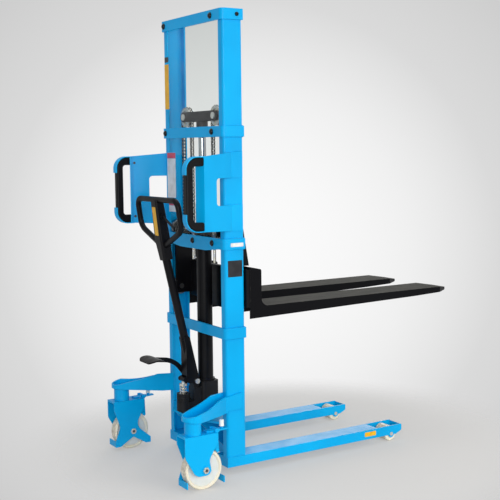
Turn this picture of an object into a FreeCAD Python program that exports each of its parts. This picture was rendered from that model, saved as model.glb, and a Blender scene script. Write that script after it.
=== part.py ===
"""Hand pallet stacker: two-column mast on wheeled straddle legs, with a chain-lifted fork carriage.

Lengths are millimetres. +X runs along the forks, +Y to the left-hand side and +Z up.
Pieces are set out from the rear face of the mast columns. The finished assembly is then
moved along X, so that its origin is the middle of its footprint, on the floor.
"""
import FreeCAD, Part
import math
import os

V = FreeCAD.Vector
X_AXIS = V(1, 0, 0)
Y_AXIS = V(0, 1, 0)
Z_AXIS = V(0, 0, 1)

# Fits shared by every piece
SEAT_GAP = 0.3
RUNNING_FIT = 0.05
OVERRUN = 5.0
SAME_PLACE = 0.001

# Mast columns, C-section with the open side inward
MAST_HEIGHT = 2080.0
MAST_WIDTH = 560.0
COLUMN_DEPTH = 100.0
COLUMN_FLANGE = 38.0
COLUMN_WALL = 8.0
COLUMN_CORNER = 12.0

# Straps bent round the rear of both columns
BAND_WALL = 10.0
BAND_HEIGHT = 48.0
UPPER_BAND_TOP = 1573.0
LOWER_BAND_TOP = 672.0
ANCHOR_BAND_TOP = 1074.0
ANCHOR_PLATE_HALF = 122.0
ANCHOR_PLATE_DROP = 13.0
ANCHOR_SHELF_HALF = 150.0
ANCHOR_SHELF_DEPTH = 96.0
ANCHOR_SHELF_WALL = 12.0

# Legs, inverted channels with the load rollers in an open nose
LEG_TOP = 79.0
LEG_HEIGHT = 46.0
LEG_WIDTH = 98.0
LEG_PROUD = 2.0
LEG_WALL = 6.0
LEG_LENGTH = 1030.0
LEG_NOSE_RISE = 19.0
LEG_NOSE_RUN = 44.0
LEG_NOSE_LIP = 9.0
LEG_NOSE_CORNER = 14.0
LEG_LOBE_RADIUS = 17.0
ROLLER_SLOT_LENGTH = 162.0

# Load rollers
LOAD_ROLLER_SETBACK = 73.0
LOAD_ROLLER_RADIUS = 37.0
LOAD_ROLLER_SIDE_GAP = 2.0
LOAD_ROLLER_EDGE = 4.0
LOAD_AXLE_RADIUS = 8.0
LOAD_AXLE_HEAD = 9.5
LOAD_AXLE_HEAD_DEPTH = 1.6

# Forks, inverted channels that close over the legs
FORK_TOP = 760.0
FORK_WIDTH = 184.0
FORK_WALL = 6.0
FORK_LEG_GAP = 2.0
FORK_LENGTH = 1156.0
FORK_HEEL_DEPTH = 54.0
FORK_NECK_DEPTH = 34.0
FORK_TIP_DEPTH = 25.0
FORK_TIP_SLOPE = 11.0
FORK_NECK_RUN = 240.0
FORK_TIP_RUN = 72.0
FORK_TIP_TAPER = 44.0
FORK_HEEL_RADIUS = 35.0
FORK_EDGE_RADIUS = 4.0
SHANK_DEPTH = 61.0
SHANK_HEIGHT = 182.0
SHANK_FALL = 14.0
SHANK_CORNER = 10.0

# Fork carriage
CARRIAGE_GAP = 4.0
CARRIAGE_PLATE = 19.0
CARRIAGE_TOP = 930.0
CARRIAGE_SKIRT = 25.0
CARRIAGE_SKIRT_HALF = 172.0
CARRIAGE_LEG_CLEARANCE = 2.0
CARRIAGE_BEAM_TOP = 1095.0
CARRIAGE_BEAM_BOTTOM = 1030.0
CARRIAGE_BEAM_WALL = 16.0
SIDE_PLATE_WALL = 12.0
SIDE_PLATE_GAP = 4.0
SIDE_PLATE_REAR = 22.0
SIDE_PLATE_FOOT = 775.0
SIDE_PLATE_SHOULDER = 1098.0
SIDE_PLATE_TOP = 1150.0
SIDE_PLATE_PEAK_REAR = 62.0
SIDE_PLATE_PEAK_FRONT = 115.0
GUSSET_FRONT = 150.0
GUIDE_ROLLER_HEIGHTS = (806.0, 1090.0)
GUIDE_ROLLER_GAP = 1.0
GUIDE_ROLLER_WIDTH = 24.0
GUIDE_ROLLER_RECESS = 3.0
GUIDE_PIN_RADIUS = 12.5
GUIDE_WASHER_RADIUS = 19.0
GUIDE_WASHER_WALL = 2.0
LUG_TOP = 1078.0
LUG_WALL = 16.0
LUG_DEPTH = 28.0
CLEVIS_PIN_HEIGHT = 1092.0

# Lift chains and their sheaves
CHAIN_X = 50.0
CHAIN_PIN_SPACING = 15.875
LINK_HEIGHT = 14.0
LINK_WALL = 2.6
WRAP_LINKS = 9
CHAIN_CORE = 8.0
SHEAVE_Y = 141.0
SHEAVE_PITCH_RADIUS = 41.0
SHEAVE_HEIGHT = 1623.0
SHEAVE_FLANGE_RADIUS = 46.0
SHEAVE_HALF_WIDTH = 11.5
SHEAVE_GROOVE_HALF = 8.0
SHEAVE_WEB_RECESS = 3.5
SHEAVE_HUB_RADIUS = 16.0
SHEAVE_PIN_RADIUS = 10.0
SHEAVE_PIN_HEAD = 15.0
SHEAVE_PIN_HEAD_DEPTH = 5.0
ANCHOR_ROD_RADIUS = 7.0
ANCHOR_ROD_BOTTOM = 950.0
ANCHOR_CLEVIS_TOP = 1100.0
ANCHOR_CLEVIS_BOTTOM = 1072.0
NUT_RADIUS = 13.0
NUT_HEIGHT = 12.0

# Ram: piston rod, rod head and the crosshead plates that carry the sheaves
ROD_RADIUS = 18.0
ROD_BOTTOM = 596.0
PISTON_HEIGHT = 40.0
CROSSHEAD_HALF = 170.0
CROSSHEAD_HEIGHT = 46.0
CROSSHEAD_WALL = 8.0
CROSSHEAD_GAP = 28.0
ROD_HEAD_HALF = 38.0
ROD_HEAD_COLLAR_RADIUS = 27.0
ROD_HEAD_COLLAR_DROP = 26.0
ROD_SOCKET_DEPTH = 20.0

# Lift cylinder and its gland
TUBE_RADIUS = 36.0
TUBE_WALL = 6.0
TUBE_TOP = 1205.0
TUBE_FOOT_DEPTH = 140.0
TUBE_FLANGE_RADIUS = 43.0
TUBE_FLANGE_WALL = 9.0
GLAND_TOP = 1222.0
GLAND_SPIGOT = 30.0
GLAND_EDGE = 3.0

# Pump shelf between the feet of the columns
SHELF_TOP = 235.0
SHELF_WALL = 10.0
SHELF_REAR = -78.0
SHELF_REAR_HALF = 100.0
SHELF_HALF = 220.0
FRONT_PLATE_WALL = 8.0
GUSSET_WALL = 8.0
GUSSET_Y = 122.0
GUSSET_FOOT_RISE = 14.0

# Hydraulic pump
PUMP_BLOCK_REAR = 8.0
PUMP_BLOCK_FRONT = 98.0
PUMP_BLOCK_HALF = 46.0
PUMP_BLOCK_TOP = 383.0
PUMP_BLOCK_CORNER = 18.0
PUMP_NECK_TOP = 358.0
PUMP_NECK_HALF = 30.0
PUMP_FOOT_WALL = 15.0
PUMP_FOOT_HALF = 58.0
PUMP_FOOT_REAR = -72.0
PUMP_LUG_HALF = 22.0
PUMP_LUG_RADIUS = 15.0
BARREL_RADIUS = 32.0
BARREL_TOP = 333.0
BARREL_RIB = 2.5
BARREL_RIB_COUNT = 4
BARREL_BORE_RADIUS = 22.0
BARREL_BORE_FLOOR = 293.0
PLUNGER_X = -72.0
PLUNGER_RADIUS = 8.0
PLUNGER_BOTTOM = 284.0
SPRING_CAP_RADIUS = 19.0
SPRING_CAP_TOP = 380.0
SPRING_CAP_HEIGHT = 11.0
SPRING_RADIUS = 15.5
SPRING_WIRE_RADIUS = 2.2
SPRING_TURNS = 6
BIARCS_PER_TURN = 2
SPRING_SAMPLES = 13

# Pump handle, which turns about a pin at the top of the pump
PIVOT_X = -13.0
PIVOT_Z = 388.0
PIVOT_RADIUS = 8.0
PIVOT_HEAD_RADIUS = 12.0
PIVOT_HEAD_DEPTH = 8.0
HANDLE_LEAN_DEG = 13.1
SHAFT_RADIUS = 19.0
SHAFT_START = 48.0
LOOP_START = 643.0
LOOP_SETBACK_DEG = 5.0
SOCKET_WALL = 5.0
SOCKET_REAR = -66.0
SOCKET_HEIGHT = 208.0
SOCKET_TOP_RADIUS = 15.0
PRESS_ROLLER_RISE = 12.0
PRESS_ROLLER_RADIUS = 10.0
PRESS_EAR_RADIUS = 12.0
PRESS_PIN_RADIUS = 4.0
LOOP_TUBE_RADIUS = 13.0
LOOP_HALF_WIDTH = 201.0
LOOP_HEIGHT = 234.0
LOOP_KNEE_HEIGHT = 100.0
LOOP_FOOT_HEIGHT = 16.0
LOOP_FOOT_HALF = 9.0
LOOP_CORNER = 38.0
LOOP_KNEE_RADIUS = 55.0
HOUSING_HALF_WIDTH = 27.0
HOUSING_HALF_DEPTH = 21.0
HOUSING_SHOULDER_HALF = 33.0
HOUSING_SHOULDER = 46.0
HOUSING_FOOT = -46.0
HOUSING_CORNER = 9.0
LEVER_HEIGHT = 158.0
LEVER_PIN_RADIUS = 5.0
LEVER_HUB_RADIUS = 11.0
LEVER_HUB_WIDTH = 9.0
LEVER_REACH = 98.0
LEVER_DROP = 52.0
LEVER_BAR = 12.0
LEVER_WALL = 6.0

# Foot pedal, bolted to the left cheek of the handle socket
PEDAL_ARM_WALL = 8.0
PEDAL_ARM_HEIGHT = 22.0
PEDAL_REAR = -270.0
PEDAL_KNEE_X = -104.0
PEDAL_KNEE_Z = 489.0
PEDAL_TOE_Z = 507.0
PEDAL_KNEE_RADIUS = 120.0
PEDAL_PAD_LENGTH = 82.0
PEDAL_PAD_WIDTH = 136.0
PEDAL_PAD_Y = 6.0
PEDAL_PAD_WALL = 7.0
PEDAL_PAD_CROWN = 11.0
PEDAL_PAD_CORNER = 28.0

# Outrigger arms that carry the casters
ARM_END_X = -223.0
ARM_END_Y = 365.0
ARM_END_RADIUS = 48.0
ARM_WALL = 8.0
ARM_FLOOR = 6.0
ARM_BOTTOM = 289.0
ARM_END_BOTTOM = 309.0
ARM_SLOPE_FRONT = -52.0
ARM_END_TOP = 325.0
ARM_TOP = 375.0
ARM_INNER_Y = 238.0
ARM_WRAP = 76.0
ARM_TOP_SHARES = ((1.0, 0.0, 0.0), (0.74, 0.36, 0.32), (0.27, 1.21, 0.02), (0.0, 1.03, -0.02))
ARM_LAP_BOTTOM = 297.0
BOSS_RADIUS = 37.0

# Casters
CASTER_TRAIL = 40.0
CASTER_WHEEL_RADIUS = 90.0
CASTER_WHEEL_WIDTH = 50.0
CASTER_WHEEL_EDGE = 5.0
CASTER_WEB_RECESS = 6.0
CASTER_RIM_WALL = 16.0
CASTER_HUB_RADIUS = 25.0
CASTER_AXLE_RADIUS = 8.5
CASTER_AXLE_HEAD = 13.0
CASTER_AXLE_HEAD_DEPTH = 8.0
CASTER_FORK_HALF = 39.0
CASTER_CHEEK_WALL = 5.0
CASTER_TOP = 246.0
CASTER_TOP_WALL = 8.0
CASTER_TOP_REAR = -99.0
CASTER_TOP_FRONT = 65.0
CHEEK_SHOULDER_DROP = 41.0
CHEEK_CORNER = 12.0
CHEEK_WAIST_FRONT = 19.0
CHEEK_WAIST_TOP = 134.0
CHEEK_END_FRONT = 27.0
CHEEK_END_BOTTOM = 66.0
CHEEK_END_REAR = -46.0
CHEEK_END_RADIUS = 24.0
CHEEK_REAR_KNEE = 158.0
CHEEK_KNEE_RADIUS = 40.0
SPREAD_WAIST_FRONT = 14.0
SPREAD_WAIST_REAR = -66.0
SPREAD_WAIST_HEIGHT = 116.0
SPREAD_RADIUS = 45.0
GUARD_REACH = 93.0
GUARD_FRONT_REACH = 95.0
GUARD_FOOT_HEIGHT = 48.0
GUARD_CLEARANCE = 20.0
GUARD_TOE_LENGTH = 26.0
GUARD_ARCH_TOP = 62.0
KINGPIN_RADIUS = 10.0
KINGPIN_HEAD_RADIUS = 17.0
KINGPIN_HEAD_DEPTH = 9.0

# Brake pedals on the casters
BRAKE_PIN_X = 72.0
BRAKE_PIN_Z = 252.0
BRAKE_PIN_RADIUS = 4.0
BRAKE_EYE_RADIUS = 8.0
BRAKE_PLATE_WALL = 6.0
BRAKE_PLATE_HALF = 20.0
BRAKE_TIP_HALF = 10.0
BRAKE_TIP_X = 130.0
BRAKE_TAIL_X = 20.0
BRAKE_TAIL_HALF = 15.0
BRAKE_SHOE_GAP = 5.0
BRAKE_SHOE_DEG = 44.0
BRAKE_NOTCH_DEPTH = 16.0
BRAKE_SHOE_WALL = 9.0
BRAKE_EAR_WALL = 5.0
BRAKE_EAR_GAP = 1.0
BRAKE_KNOB_X = 104.0
BRAKE_KNOB_RADIUS = 10.0
BRAKE_KNOB_HEIGHT = 36.0
BRAKE_NECK_RADIUS = 7.0
BRAKE_NECK_HEIGHT = 9.0

# Steering handles on the outside of the columns
GRIP_PLATE_WALL = 5.0
GRIP_PLATE_FRONT = 92.0
GRIP_PLATE_BEND = 34.0
GRIP_PLATE_FOLD_X = -147.0
GRIP_PLATE_FOLD_Y = 362.0
GRIP_FLANGE = 42.0
GRIP_PLATE_REAR_TOP = 1441.0
GRIP_PLATE_FRONT_TOP = 1462.0
GRIP_PLATE_REAR_BOTTOM = 1118.0
GRIP_PLATE_FRONT_BOTTOM = 1106.0
GRIP_NOTCH_TOP = 1345.0
GRIP_NOTCH_BOTTOM = 1225.0
GRIP_NOTCH_REAR = -67.0
GRIP_NOTCH_CORNER = 16.0
GRIP_REAR = -238.0
GRIP_CORNER = 58.0
GRIP_BAR = 34.0
GRIP_ARM = 38.0
GRIP_DEPTH = 34.0
GRIP_SHELL_WALL = 4.0
GRIP_SHELL_DROP = 78.0
GRIP_INNER_CORNER = 14.0
GRIP_SOFTENING = 9.0

# Clear guard and fasteners
GUARD_WALL = 4.0
GUARD_SIDE_GAP = 5.0
GUARD_BOTTOM = 1078.0
GUARD_TOP_DROP = 4.0
BOLT_RADIUS = 4.0
BOLT_HEAD_RADIUS = 9.5
BOLT_HEAD_HEIGHT = 7.0
DOME_SHARES = ((0.55, 1.0), (0.9, 0.6), (1.0, 0.0))
SCREEN_BOLT_Y = 191.0
STRAP_BOLT_Y = 255.0
SIDE_BOLT_X = 68.0
PLATE_BOLT_Y = 182.0
GRIP_SCREW_INSET = 17.0
GRIP_SCREW_RISE = 32.0
GRIP_SCREW_HEAD = 6.0
GRIP_SCREW_HEAD_HEIGHT = 3.0
PUMP_BOLT_X = -22.0
PUMP_BOLT_INSET = 14.0

# Places that follow from the sizes above
HALF_MAST = MAST_WIDTH / 2
WEB_INSIDE = HALF_MAST - COLUMN_WALL
FLANGE_TIP = HALF_MAST - COLUMN_FLANGE
LEG_OUTER = HALF_MAST + LEG_PROUD
LEG_INNER = LEG_OUTER - LEG_WIDTH
LEG_BOTTOM = LEG_TOP - LEG_HEIGHT
LOAD_ROLLER_X = LEG_LENGTH - LOAD_ROLLER_SETBACK
ANCHOR_SHELF_TOP = ANCHOR_BAND_TOP - BAND_HEIGHT / 2
FORK_OUTER = LEG_OUTER + FORK_LEG_GAP + FORK_WALL
FORK_INNER = FORK_OUTER - FORK_WIDTH
PLATE_REAR = COLUMN_DEPTH + CARRIAGE_GAP
SHANK_REAR = PLATE_REAR + CARRIAGE_PLATE
SHANK_FRONT = SHANK_REAR + SHANK_DEPTH
FORK_TIP_X = SHANK_FRONT + FORK_LENGTH
SIDE_PLATE_OUTER = FLANGE_TIP - SIDE_PLATE_GAP
SIDE_PLATE_INNER = SIDE_PLATE_OUTER - SIDE_PLATE_WALL
CHAIN_HALF = CHAIN_CORE / 2 + LINK_WALL
CHAIN_BOTTOM = CLEVIS_PIN_HEIGHT
CYLINDER_X = CHAIN_X
CASTER_AXLE_X = ARM_END_X + CASTER_TRAIL
REARMOST_X = CASTER_AXLE_X + CASTER_TOP_REAR
ORIGIN_X = (FORK_TIP_X + REARMOST_X) / 2
CROSSHEAD_BOTTOM = SHEAVE_HEIGHT - CROSSHEAD_HEIGHT / 2
CROSSHEAD_TOP = SHEAVE_HEIGHT + CROSSHEAD_HEIGHT / 2
SPRING_CAP_BOTTOM = SPRING_CAP_TOP - SPRING_CAP_HEIGHT
CHAIN_ANCHOR_Y = SHEAVE_Y - SHEAVE_PITCH_RADIUS
CHAIN_LIFT_Y = SHEAVE_Y + SHEAVE_PITCH_RADIUS
WRAP_TAIL = (WRAP_LINKS * CHAIN_PIN_SPACING - math.pi * SHEAVE_PITCH_RADIUS) / 2
CHAIN_TOP = SHEAVE_HEIGHT - WRAP_TAIL
SOCKET_INSIDE = PUMP_LUG_HALF + SEAT_GAP
SOCKET_OUTSIDE = SOCKET_INSIDE + SOCKET_WALL


def block(x0, x1, y0, y1, z0, z1):
    return Part.makeBox(x1 - x0, y1 - y0, z1 - z0, V(x0, y0, z0))


def rod(radius, start, end):
    return Part.makeCylinder(radius, (end - start).Length, start, end - start)


def hexagon(radius, start, end):
    """Hexagonal bar along Z between two heights, with its corners at the radius."""
    corners = [start + V(radius * math.cos(turn), radius * math.sin(turn), 0)
               for turn in (math.radians(60 * step) for step in range(6))]
    return Part.Face(Part.makePolygon(corners + corners[:1])).extrude(end - start)


def prism(corners, along):
    return Part.Face(Part.makePolygon(corners + corners[:1])).extrude(along)


def side_view(outline, y0, y1):
    """Solid with an outline of (x, z) corners, from y0 to y1."""
    return prism([V(x, y0, z) for x, z in outline], V(0, y1 - y0, 0))


def plan_view(outline, z0, z1):
    """Solid with an outline of (x, y) corners, from z0 to z1."""
    return prism([V(x, y, z0) for x, y in outline], V(0, 0, z1 - z0))


def rear_view(outline, x0, x1):
    """Solid with an outline of (y, z) corners, from x0 to x1."""
    return prism([V(x0, y, z) for y, z in outline], V(x1 - x0, 0, 0))


def fuse(shapes):
    return shapes[0].multiFuse(shapes[1:]).removeSplitter()


def mirrored(shape):
    return shape.mirror(V(0, 0, 0), Y_AXIS)


def runs_along(edge, axis):
    run = edge.valueAt(edge.LastParameter) - edge.valueAt(edge.FirstParameter)
    return edge.Curve.TypeId == "Part::GeomLine" and run.cross(axis).Length < SAME_PLACE


def round_upright(shape, places, radius):
    """Round the upright edges that stand at the given (x, y) places."""
    edges = [edge for edge in shape.Edges if runs_along(edge, Z_AXIS)
             and any(math.hypot(edge.CenterOfMass.x - x, edge.CenterOfMass.y - y) < SAME_PLACE
                     for x, y in places)]
    return shape.makeFillet(radius, edges)


def round_crosswise(shape, places, radius):
    """Round the edges along Y that lie at the given (x, z) places."""
    edges = [edge for edge in shape.Edges if runs_along(edge, Y_AXIS)
             and any(math.hypot(edge.CenterOfMass.x - x, edge.CenterOfMass.z - z) < SAME_PLACE
                     for x, z in places)]
    return shape.makeFillet(radius, edges)


def turned(outline, centre, axis):
    """Ring of revolution from an outline of (radius, along) corners about an axis."""
    side = X_AXIS if abs(axis.x) < SAME_PLACE else Z_AXIS
    corners = [centre + side * radius + axis * along for radius, along in outline]
    return Part.Face(Part.makePolygon(corners + corners[:1])).revolve(centre, axis, 360)


def bent_path(corners, radii):
    """Wire through corner points, each inner corner rounded to its own radius."""
    edges = []
    start = corners[0]
    for before, corner, after, radius in zip(corners, corners[1:], corners[2:], radii):
        back = (before - corner).normalize()
        ahead = (after - corner).normalize()
        half = back.getAngle(ahead) / 2
        setback = radius / math.tan(half)
        middle = corner + (back + ahead).normalize() * (radius / math.sin(half) - radius)
        edges.append(Part.LineSegment(start, corner + back * setback).toShape())
        edges.append(Part.Arc(corner + back * setback, middle, corner + ahead * setback).toShape())
        start = corner + ahead * setback
    edges.append(Part.LineSegment(start, corners[-1]).toShape())
    return Part.Wire(edges)


def tube_along(path, radius):
    start = path.Edges[0].valueAt(path.Edges[0].FirstParameter)
    ahead = path.Edges[0].tangentAt(path.Edges[0].FirstParameter)
    ring = Part.Wire(Part.makeCircle(radius, start, ahead))
    return path.makePipeShell([ring], True, False)


def strip_outline(path, wall):
    """Outline of a bent strip that lies on the left of a path of (x, y) corners."""
    far = []
    for index, (x, y) in enumerate(path):
        runs = []
        for first in (index - 1, index):
            if 0 <= first < len(path) - 1:
                run = V(path[first + 1][0] - path[first][0], path[first + 1][1] - path[first][1], 0)
                runs.append(run.normalize())
        mean = (runs[0] + runs[-1]).normalize()
        reach = wall / mean.dot(runs[0])
        far.append((x - mean.y * reach, y + mean.x * reach))
    return path + far[::-1]


def dome_bolt(seat, into, length):
    """Bolt with a domed head on a seat, its shank running the given way."""
    dome = [(BOLT_HEAD_RADIUS * wide, -BOLT_HEAD_HEIGHT * tall) for wide, tall in DOME_SHARES]
    outline = [(0, -BOLT_HEAD_HEIGHT)] + dome + [(BOLT_RADIUS, 0), (BOLT_RADIUS, length), (0, length)]
    return turned(outline, seat, into)


def bolt_hole(seat, into, length):
    return rod(BOLT_RADIUS + RUNNING_FIT, seat - into * OVERRUN, seat + into * (length + OVERRUN))


# Mast
def column():
    corners = [(0, HALF_MAST), (COLUMN_DEPTH, HALF_MAST)]
    body = block(0, COLUMN_DEPTH, FLANGE_TIP, HALF_MAST, LEG_TOP, MAST_HEIGHT)
    body = round_upright(body, corners, COLUMN_CORNER)
    front = COLUMN_DEPTH - COLUMN_WALL
    hollow = block(COLUMN_WALL, front, FLANGE_TIP - OVERRUN, WEB_INSIDE,
                   LEG_TOP - OVERRUN, MAST_HEIGHT + OVERRUN)
    inner_corners = [(COLUMN_WALL, WEB_INSIDE), (front, WEB_INSIDE)]
    hollow = round_upright(hollow, inner_corners, COLUMN_CORNER - COLUMN_WALL)
    return body.cut(hollow)


def strap(top):
    outer = HALF_MAST + BAND_WALL
    body = block(-BAND_WALL, COLUMN_DEPTH, -outer, outer, top - BAND_HEIGHT, top)
    body = round_upright(body, [(-BAND_WALL, outer), (-BAND_WALL, -outer)],
                         COLUMN_CORNER + BAND_WALL)
    inside = block(0, COLUMN_DEPTH + OVERRUN, -HALF_MAST, HALF_MAST,
                   top - BAND_HEIGHT - OVERRUN, top + OVERRUN)
    inside = round_upright(inside, [(0, HALF_MAST), (0, -HALF_MAST)], COLUMN_CORNER)
    return body.cut(inside)


def rear_bolt_places():
    """Seats on the rear of the straps: guard bolts, then the three of the anchor plate."""
    middle = BAND_HEIGHT / 2
    for top in (MAST_HEIGHT, UPPER_BAND_TOP):
        for y in (-SCREEN_BOLT_Y, STRAP_BOLT_Y):
            yield V(-BAND_WALL, y, top - middle)
    for y in (-PLATE_BOLT_Y, 0, PLATE_BOLT_Y):
        yield V(-BAND_WALL, y, ANCHOR_BAND_TOP - middle)


def side_bolt_places():
    height = MAST_HEIGHT - BAND_HEIGHT / 2
    for side in (-1, 1):
        yield V(SIDE_BOLT_X, side * (HALF_MAST + BAND_WALL), height), V(0, -side, 0)


def drill_straps(shape):
    for seat in rear_bolt_places():
        shape = shape.cut(bolt_hole(seat, X_AXIS, BAND_WALL))
    for seat, into in side_bolt_places():
        shape = shape.cut(bolt_hole(seat, into, BAND_WALL))
    return shape


def mast_bands():
    return [drill_straps(strap(top)) for top in (MAST_HEIGHT, UPPER_BAND_TOP, LOWER_BAND_TOP)]


def anchor_band():
    """Strap with a deeper middle plate and the shelf that holds the chain anchors."""
    bottom = ANCHOR_BAND_TOP - BAND_HEIGHT
    plate = rear_view([(-FLANGE_TIP, ANCHOR_BAND_TOP), (-FLANGE_TIP, bottom),
                       (-ANCHOR_PLATE_HALF, bottom - ANCHOR_PLATE_DROP),
                       (ANCHOR_PLATE_HALF, bottom - ANCHOR_PLATE_DROP),
                       (FLANGE_TIP, bottom), (FLANGE_TIP, ANCHOR_BAND_TOP)], -BAND_WALL, 0)
    shelf = block(-BAND_WALL / 2, ANCHOR_SHELF_DEPTH, -ANCHOR_SHELF_HALF, ANCHOR_SHELF_HALF,
                  ANCHOR_SHELF_TOP - ANCHOR_SHELF_WALL, ANCHOR_SHELF_TOP)
    shelf = round_upright(shelf, [(ANCHOR_SHELF_DEPTH, ANCHOR_SHELF_HALF),
                                  (ANCHOR_SHELF_DEPTH, -ANCHOR_SHELF_HALF)], COLUMN_CORNER)
    body = drill_straps(fuse([strap(ANCHOR_BAND_TOP), plate, shelf]))
    low, high = ANCHOR_SHELF_TOP - ANCHOR_SHELF_WALL - OVERRUN, ANCHOR_SHELF_TOP + OVERRUN
    body = body.cut(rod(TUBE_RADIUS + RUNNING_FIT, V(CYLINDER_X, 0, low), V(CYLINDER_X, 0, high)))
    for y in (-CHAIN_ANCHOR_Y, CHAIN_ANCHOR_Y):
        body = body.cut(rod(ANCHOR_ROD_RADIUS + RUNNING_FIT, V(CHAIN_X, y, low), V(CHAIN_X, y, high)))
    return body


def guard_screen():
    top = MAST_HEIGHT - GUARD_TOP_DROP
    half = FLANGE_TIP - GUARD_SIDE_GAP
    sheet = block(0, GUARD_WALL, -half, half, GUARD_BOTTOM, top)
    for seat in rear_bolt_places():
        sheet = sheet.cut(bolt_hole(seat, X_AXIS, BAND_WALL))
    return sheet


def mast_bolts():
    """Dome-head bolts of the straps and hexagon bolts of the pump's foot."""
    bolts = []
    for seat in rear_bolt_places():
        through_guard = seat.z > GUARD_BOTTOM and seat.y < FLANGE_TIP
        bolts.append(dome_bolt(seat, X_AXIS, BAND_WALL + GUARD_WALL if through_guard else BAND_WALL))
    bolts += [dome_bolt(seat, into, BAND_WALL) for seat, into in side_bolt_places()]
    for x, y in pump_bolt_places():
        foot_top = SHELF_TOP + PUMP_FOOT_WALL
        bolts.append(fuse([rod(BOLT_RADIUS, V(x, y, SHELF_TOP - SHELF_WALL), V(x, y, foot_top)),
                           hexagon(BOLT_HEAD_RADIUS, V(x, y, foot_top),
                                   V(x, y, foot_top + BOLT_HEAD_HEIGHT))]))
    return bolts


def clevis(y, bottom, top, pin_height):
    """Forked end whose two ears stand either side of the chain's first inner link."""
    half = CHAIN_HALF
    core = CHAIN_CORE / 2
    body = block(CHAIN_X - half, CHAIN_X + half, y - LINK_HEIGHT / 2, y + LINK_HEIGHT / 2, bottom, top)
    slot = block(CHAIN_X - core, CHAIN_X + core, y - LINK_HEIGHT, y + LINK_HEIGHT,
                 pin_height - LINK_HEIGHT / 2, top + OVERRUN)
    return body.cut(slot)


def chain_anchor(y):
    rod_part = rod(ANCHOR_ROD_RADIUS, V(CHAIN_X, y, ANCHOR_ROD_BOTTOM),
                   V(CHAIN_X, y, ANCHOR_CLEVIS_BOTTOM + OVERRUN))
    head = clevis(y, ANCHOR_CLEVIS_BOTTOM, ANCHOR_CLEVIS_TOP, CHAIN_BOTTOM)
    return fuse([rod_part, head])


def anchor_nuts():
    """A nut above the shelf and a pair locked below it on each anchor."""
    shelf_bottom = ANCHOR_SHELF_TOP - ANCHOR_SHELF_WALL
    nuts = []
    for y in (-CHAIN_ANCHOR_Y, CHAIN_ANCHOR_Y):
        for bottom in (ANCHOR_SHELF_TOP, shelf_bottom - NUT_HEIGHT, shelf_bottom - 2 * NUT_HEIGHT):
            start, end = V(CHAIN_X, y, bottom), V(CHAIN_X, y, bottom + NUT_HEIGHT)
            bore = rod(ANCHOR_ROD_RADIUS, start, end)
            nuts.append(hexagon(NUT_RADIUS, start, end).cut(bore))
    return nuts


# Chains
def link_plate(x0, x1, first, second):
    """Link with pointed ends about its two pins, given as places in a plane across X."""
    ahead = (second - first).normalize()
    across = X_AXIS.cross(ahead) * (LINK_HEIGHT / 2)
    tip = ahead * (LINK_HEIGHT / 2)
    corners = [first - tip, first + across, second + across,
               second + tip, second - across, first - across]
    return prism([corner + X_AXIS * x0 for corner in corners], X_AXIS * (x1 - x0))


def chain_links(pins, starts_inner):
    """Links between successive pins: cores and pairs of outer plates by turns."""
    core = CHAIN_CORE / 2
    links = []
    for index, (first, second) in enumerate(zip(pins, pins[1:])):
        if (index % 2 == 0) == starts_inner:
            links.append(link_plate(CHAIN_X - core, CHAIN_X + core, first, second))
        else:
            links.append(link_plate(CHAIN_X - core - LINK_WALL, CHAIN_X - core, first, second))
            links.append(link_plate(CHAIN_X + core, CHAIN_X + core + LINK_WALL, first, second))
    return links


def chain_run(y, bottom, top):
    """Straight stretch of chain whose pins are evenly spaced at about the chain's pitch."""
    pitches = 2 * round(((top - bottom) / CHAIN_PIN_SPACING - 1) / 2) + 1
    step = (top - bottom) / pitches
    pins = [V(0, y, bottom + step * index) for index in range(pitches + 1)]
    return chain_links(pins, True)


def chain_wrap(y):
    """Stretch of chain over the top of a sheave, with a short straight tail on each side."""
    half_turn = math.pi * SHEAVE_PITCH_RADIUS
    pins = []
    for index in range(WRAP_LINKS + 1):
        along = index * CHAIN_PIN_SPACING - WRAP_TAIL
        turn = min(max(along, 0), half_turn) / SHEAVE_PITCH_RADIUS
        below = min(along, 0) + min(half_turn - along, 0)
        pins.append(V(0, y + SHEAVE_PITCH_RADIUS * math.cos(turn),
                      SHEAVE_HEIGHT + SHEAVE_PITCH_RADIUS * math.sin(turn) + below))
    inner = SHEAVE_PITCH_RADIUS - LINK_HEIGHT / 2
    hollow = rod(inner, V(CHAIN_X - CHAIN_HALF, y, SHEAVE_HEIGHT),
                 V(CHAIN_X + CHAIN_HALF, y, SHEAVE_HEIGHT))
    return [link.cut(hollow) for link in chain_links(pins, False)]


def sheave(y):
    groove = SHEAVE_PITCH_RADIUS - LINK_HEIGHT / 2 - SEAT_GAP
    bore = SHEAVE_PIN_RADIUS + RUNNING_FIT
    rim = groove - SHEAVE_WEB_RECESS
    web = SHEAVE_HALF_WIDTH - SHEAVE_WEB_RECESS
    half = [(bore, SHEAVE_HALF_WIDTH), (SHEAVE_HUB_RADIUS, SHEAVE_HALF_WIDTH),
            (SHEAVE_HUB_RADIUS, web), (rim, web), (rim, SHEAVE_HALF_WIDTH),
            (SHEAVE_FLANGE_RADIUS, SHEAVE_HALF_WIDTH), (SHEAVE_FLANGE_RADIUS, SHEAVE_GROOVE_HALF),
            (groove, SHEAVE_GROOVE_HALF)]
    outline = half + [(radius, -along) for radius, along in reversed(half)]
    return turned(outline, V(CHAIN_X, y, SHEAVE_HEIGHT), X_AXIS)


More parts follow.
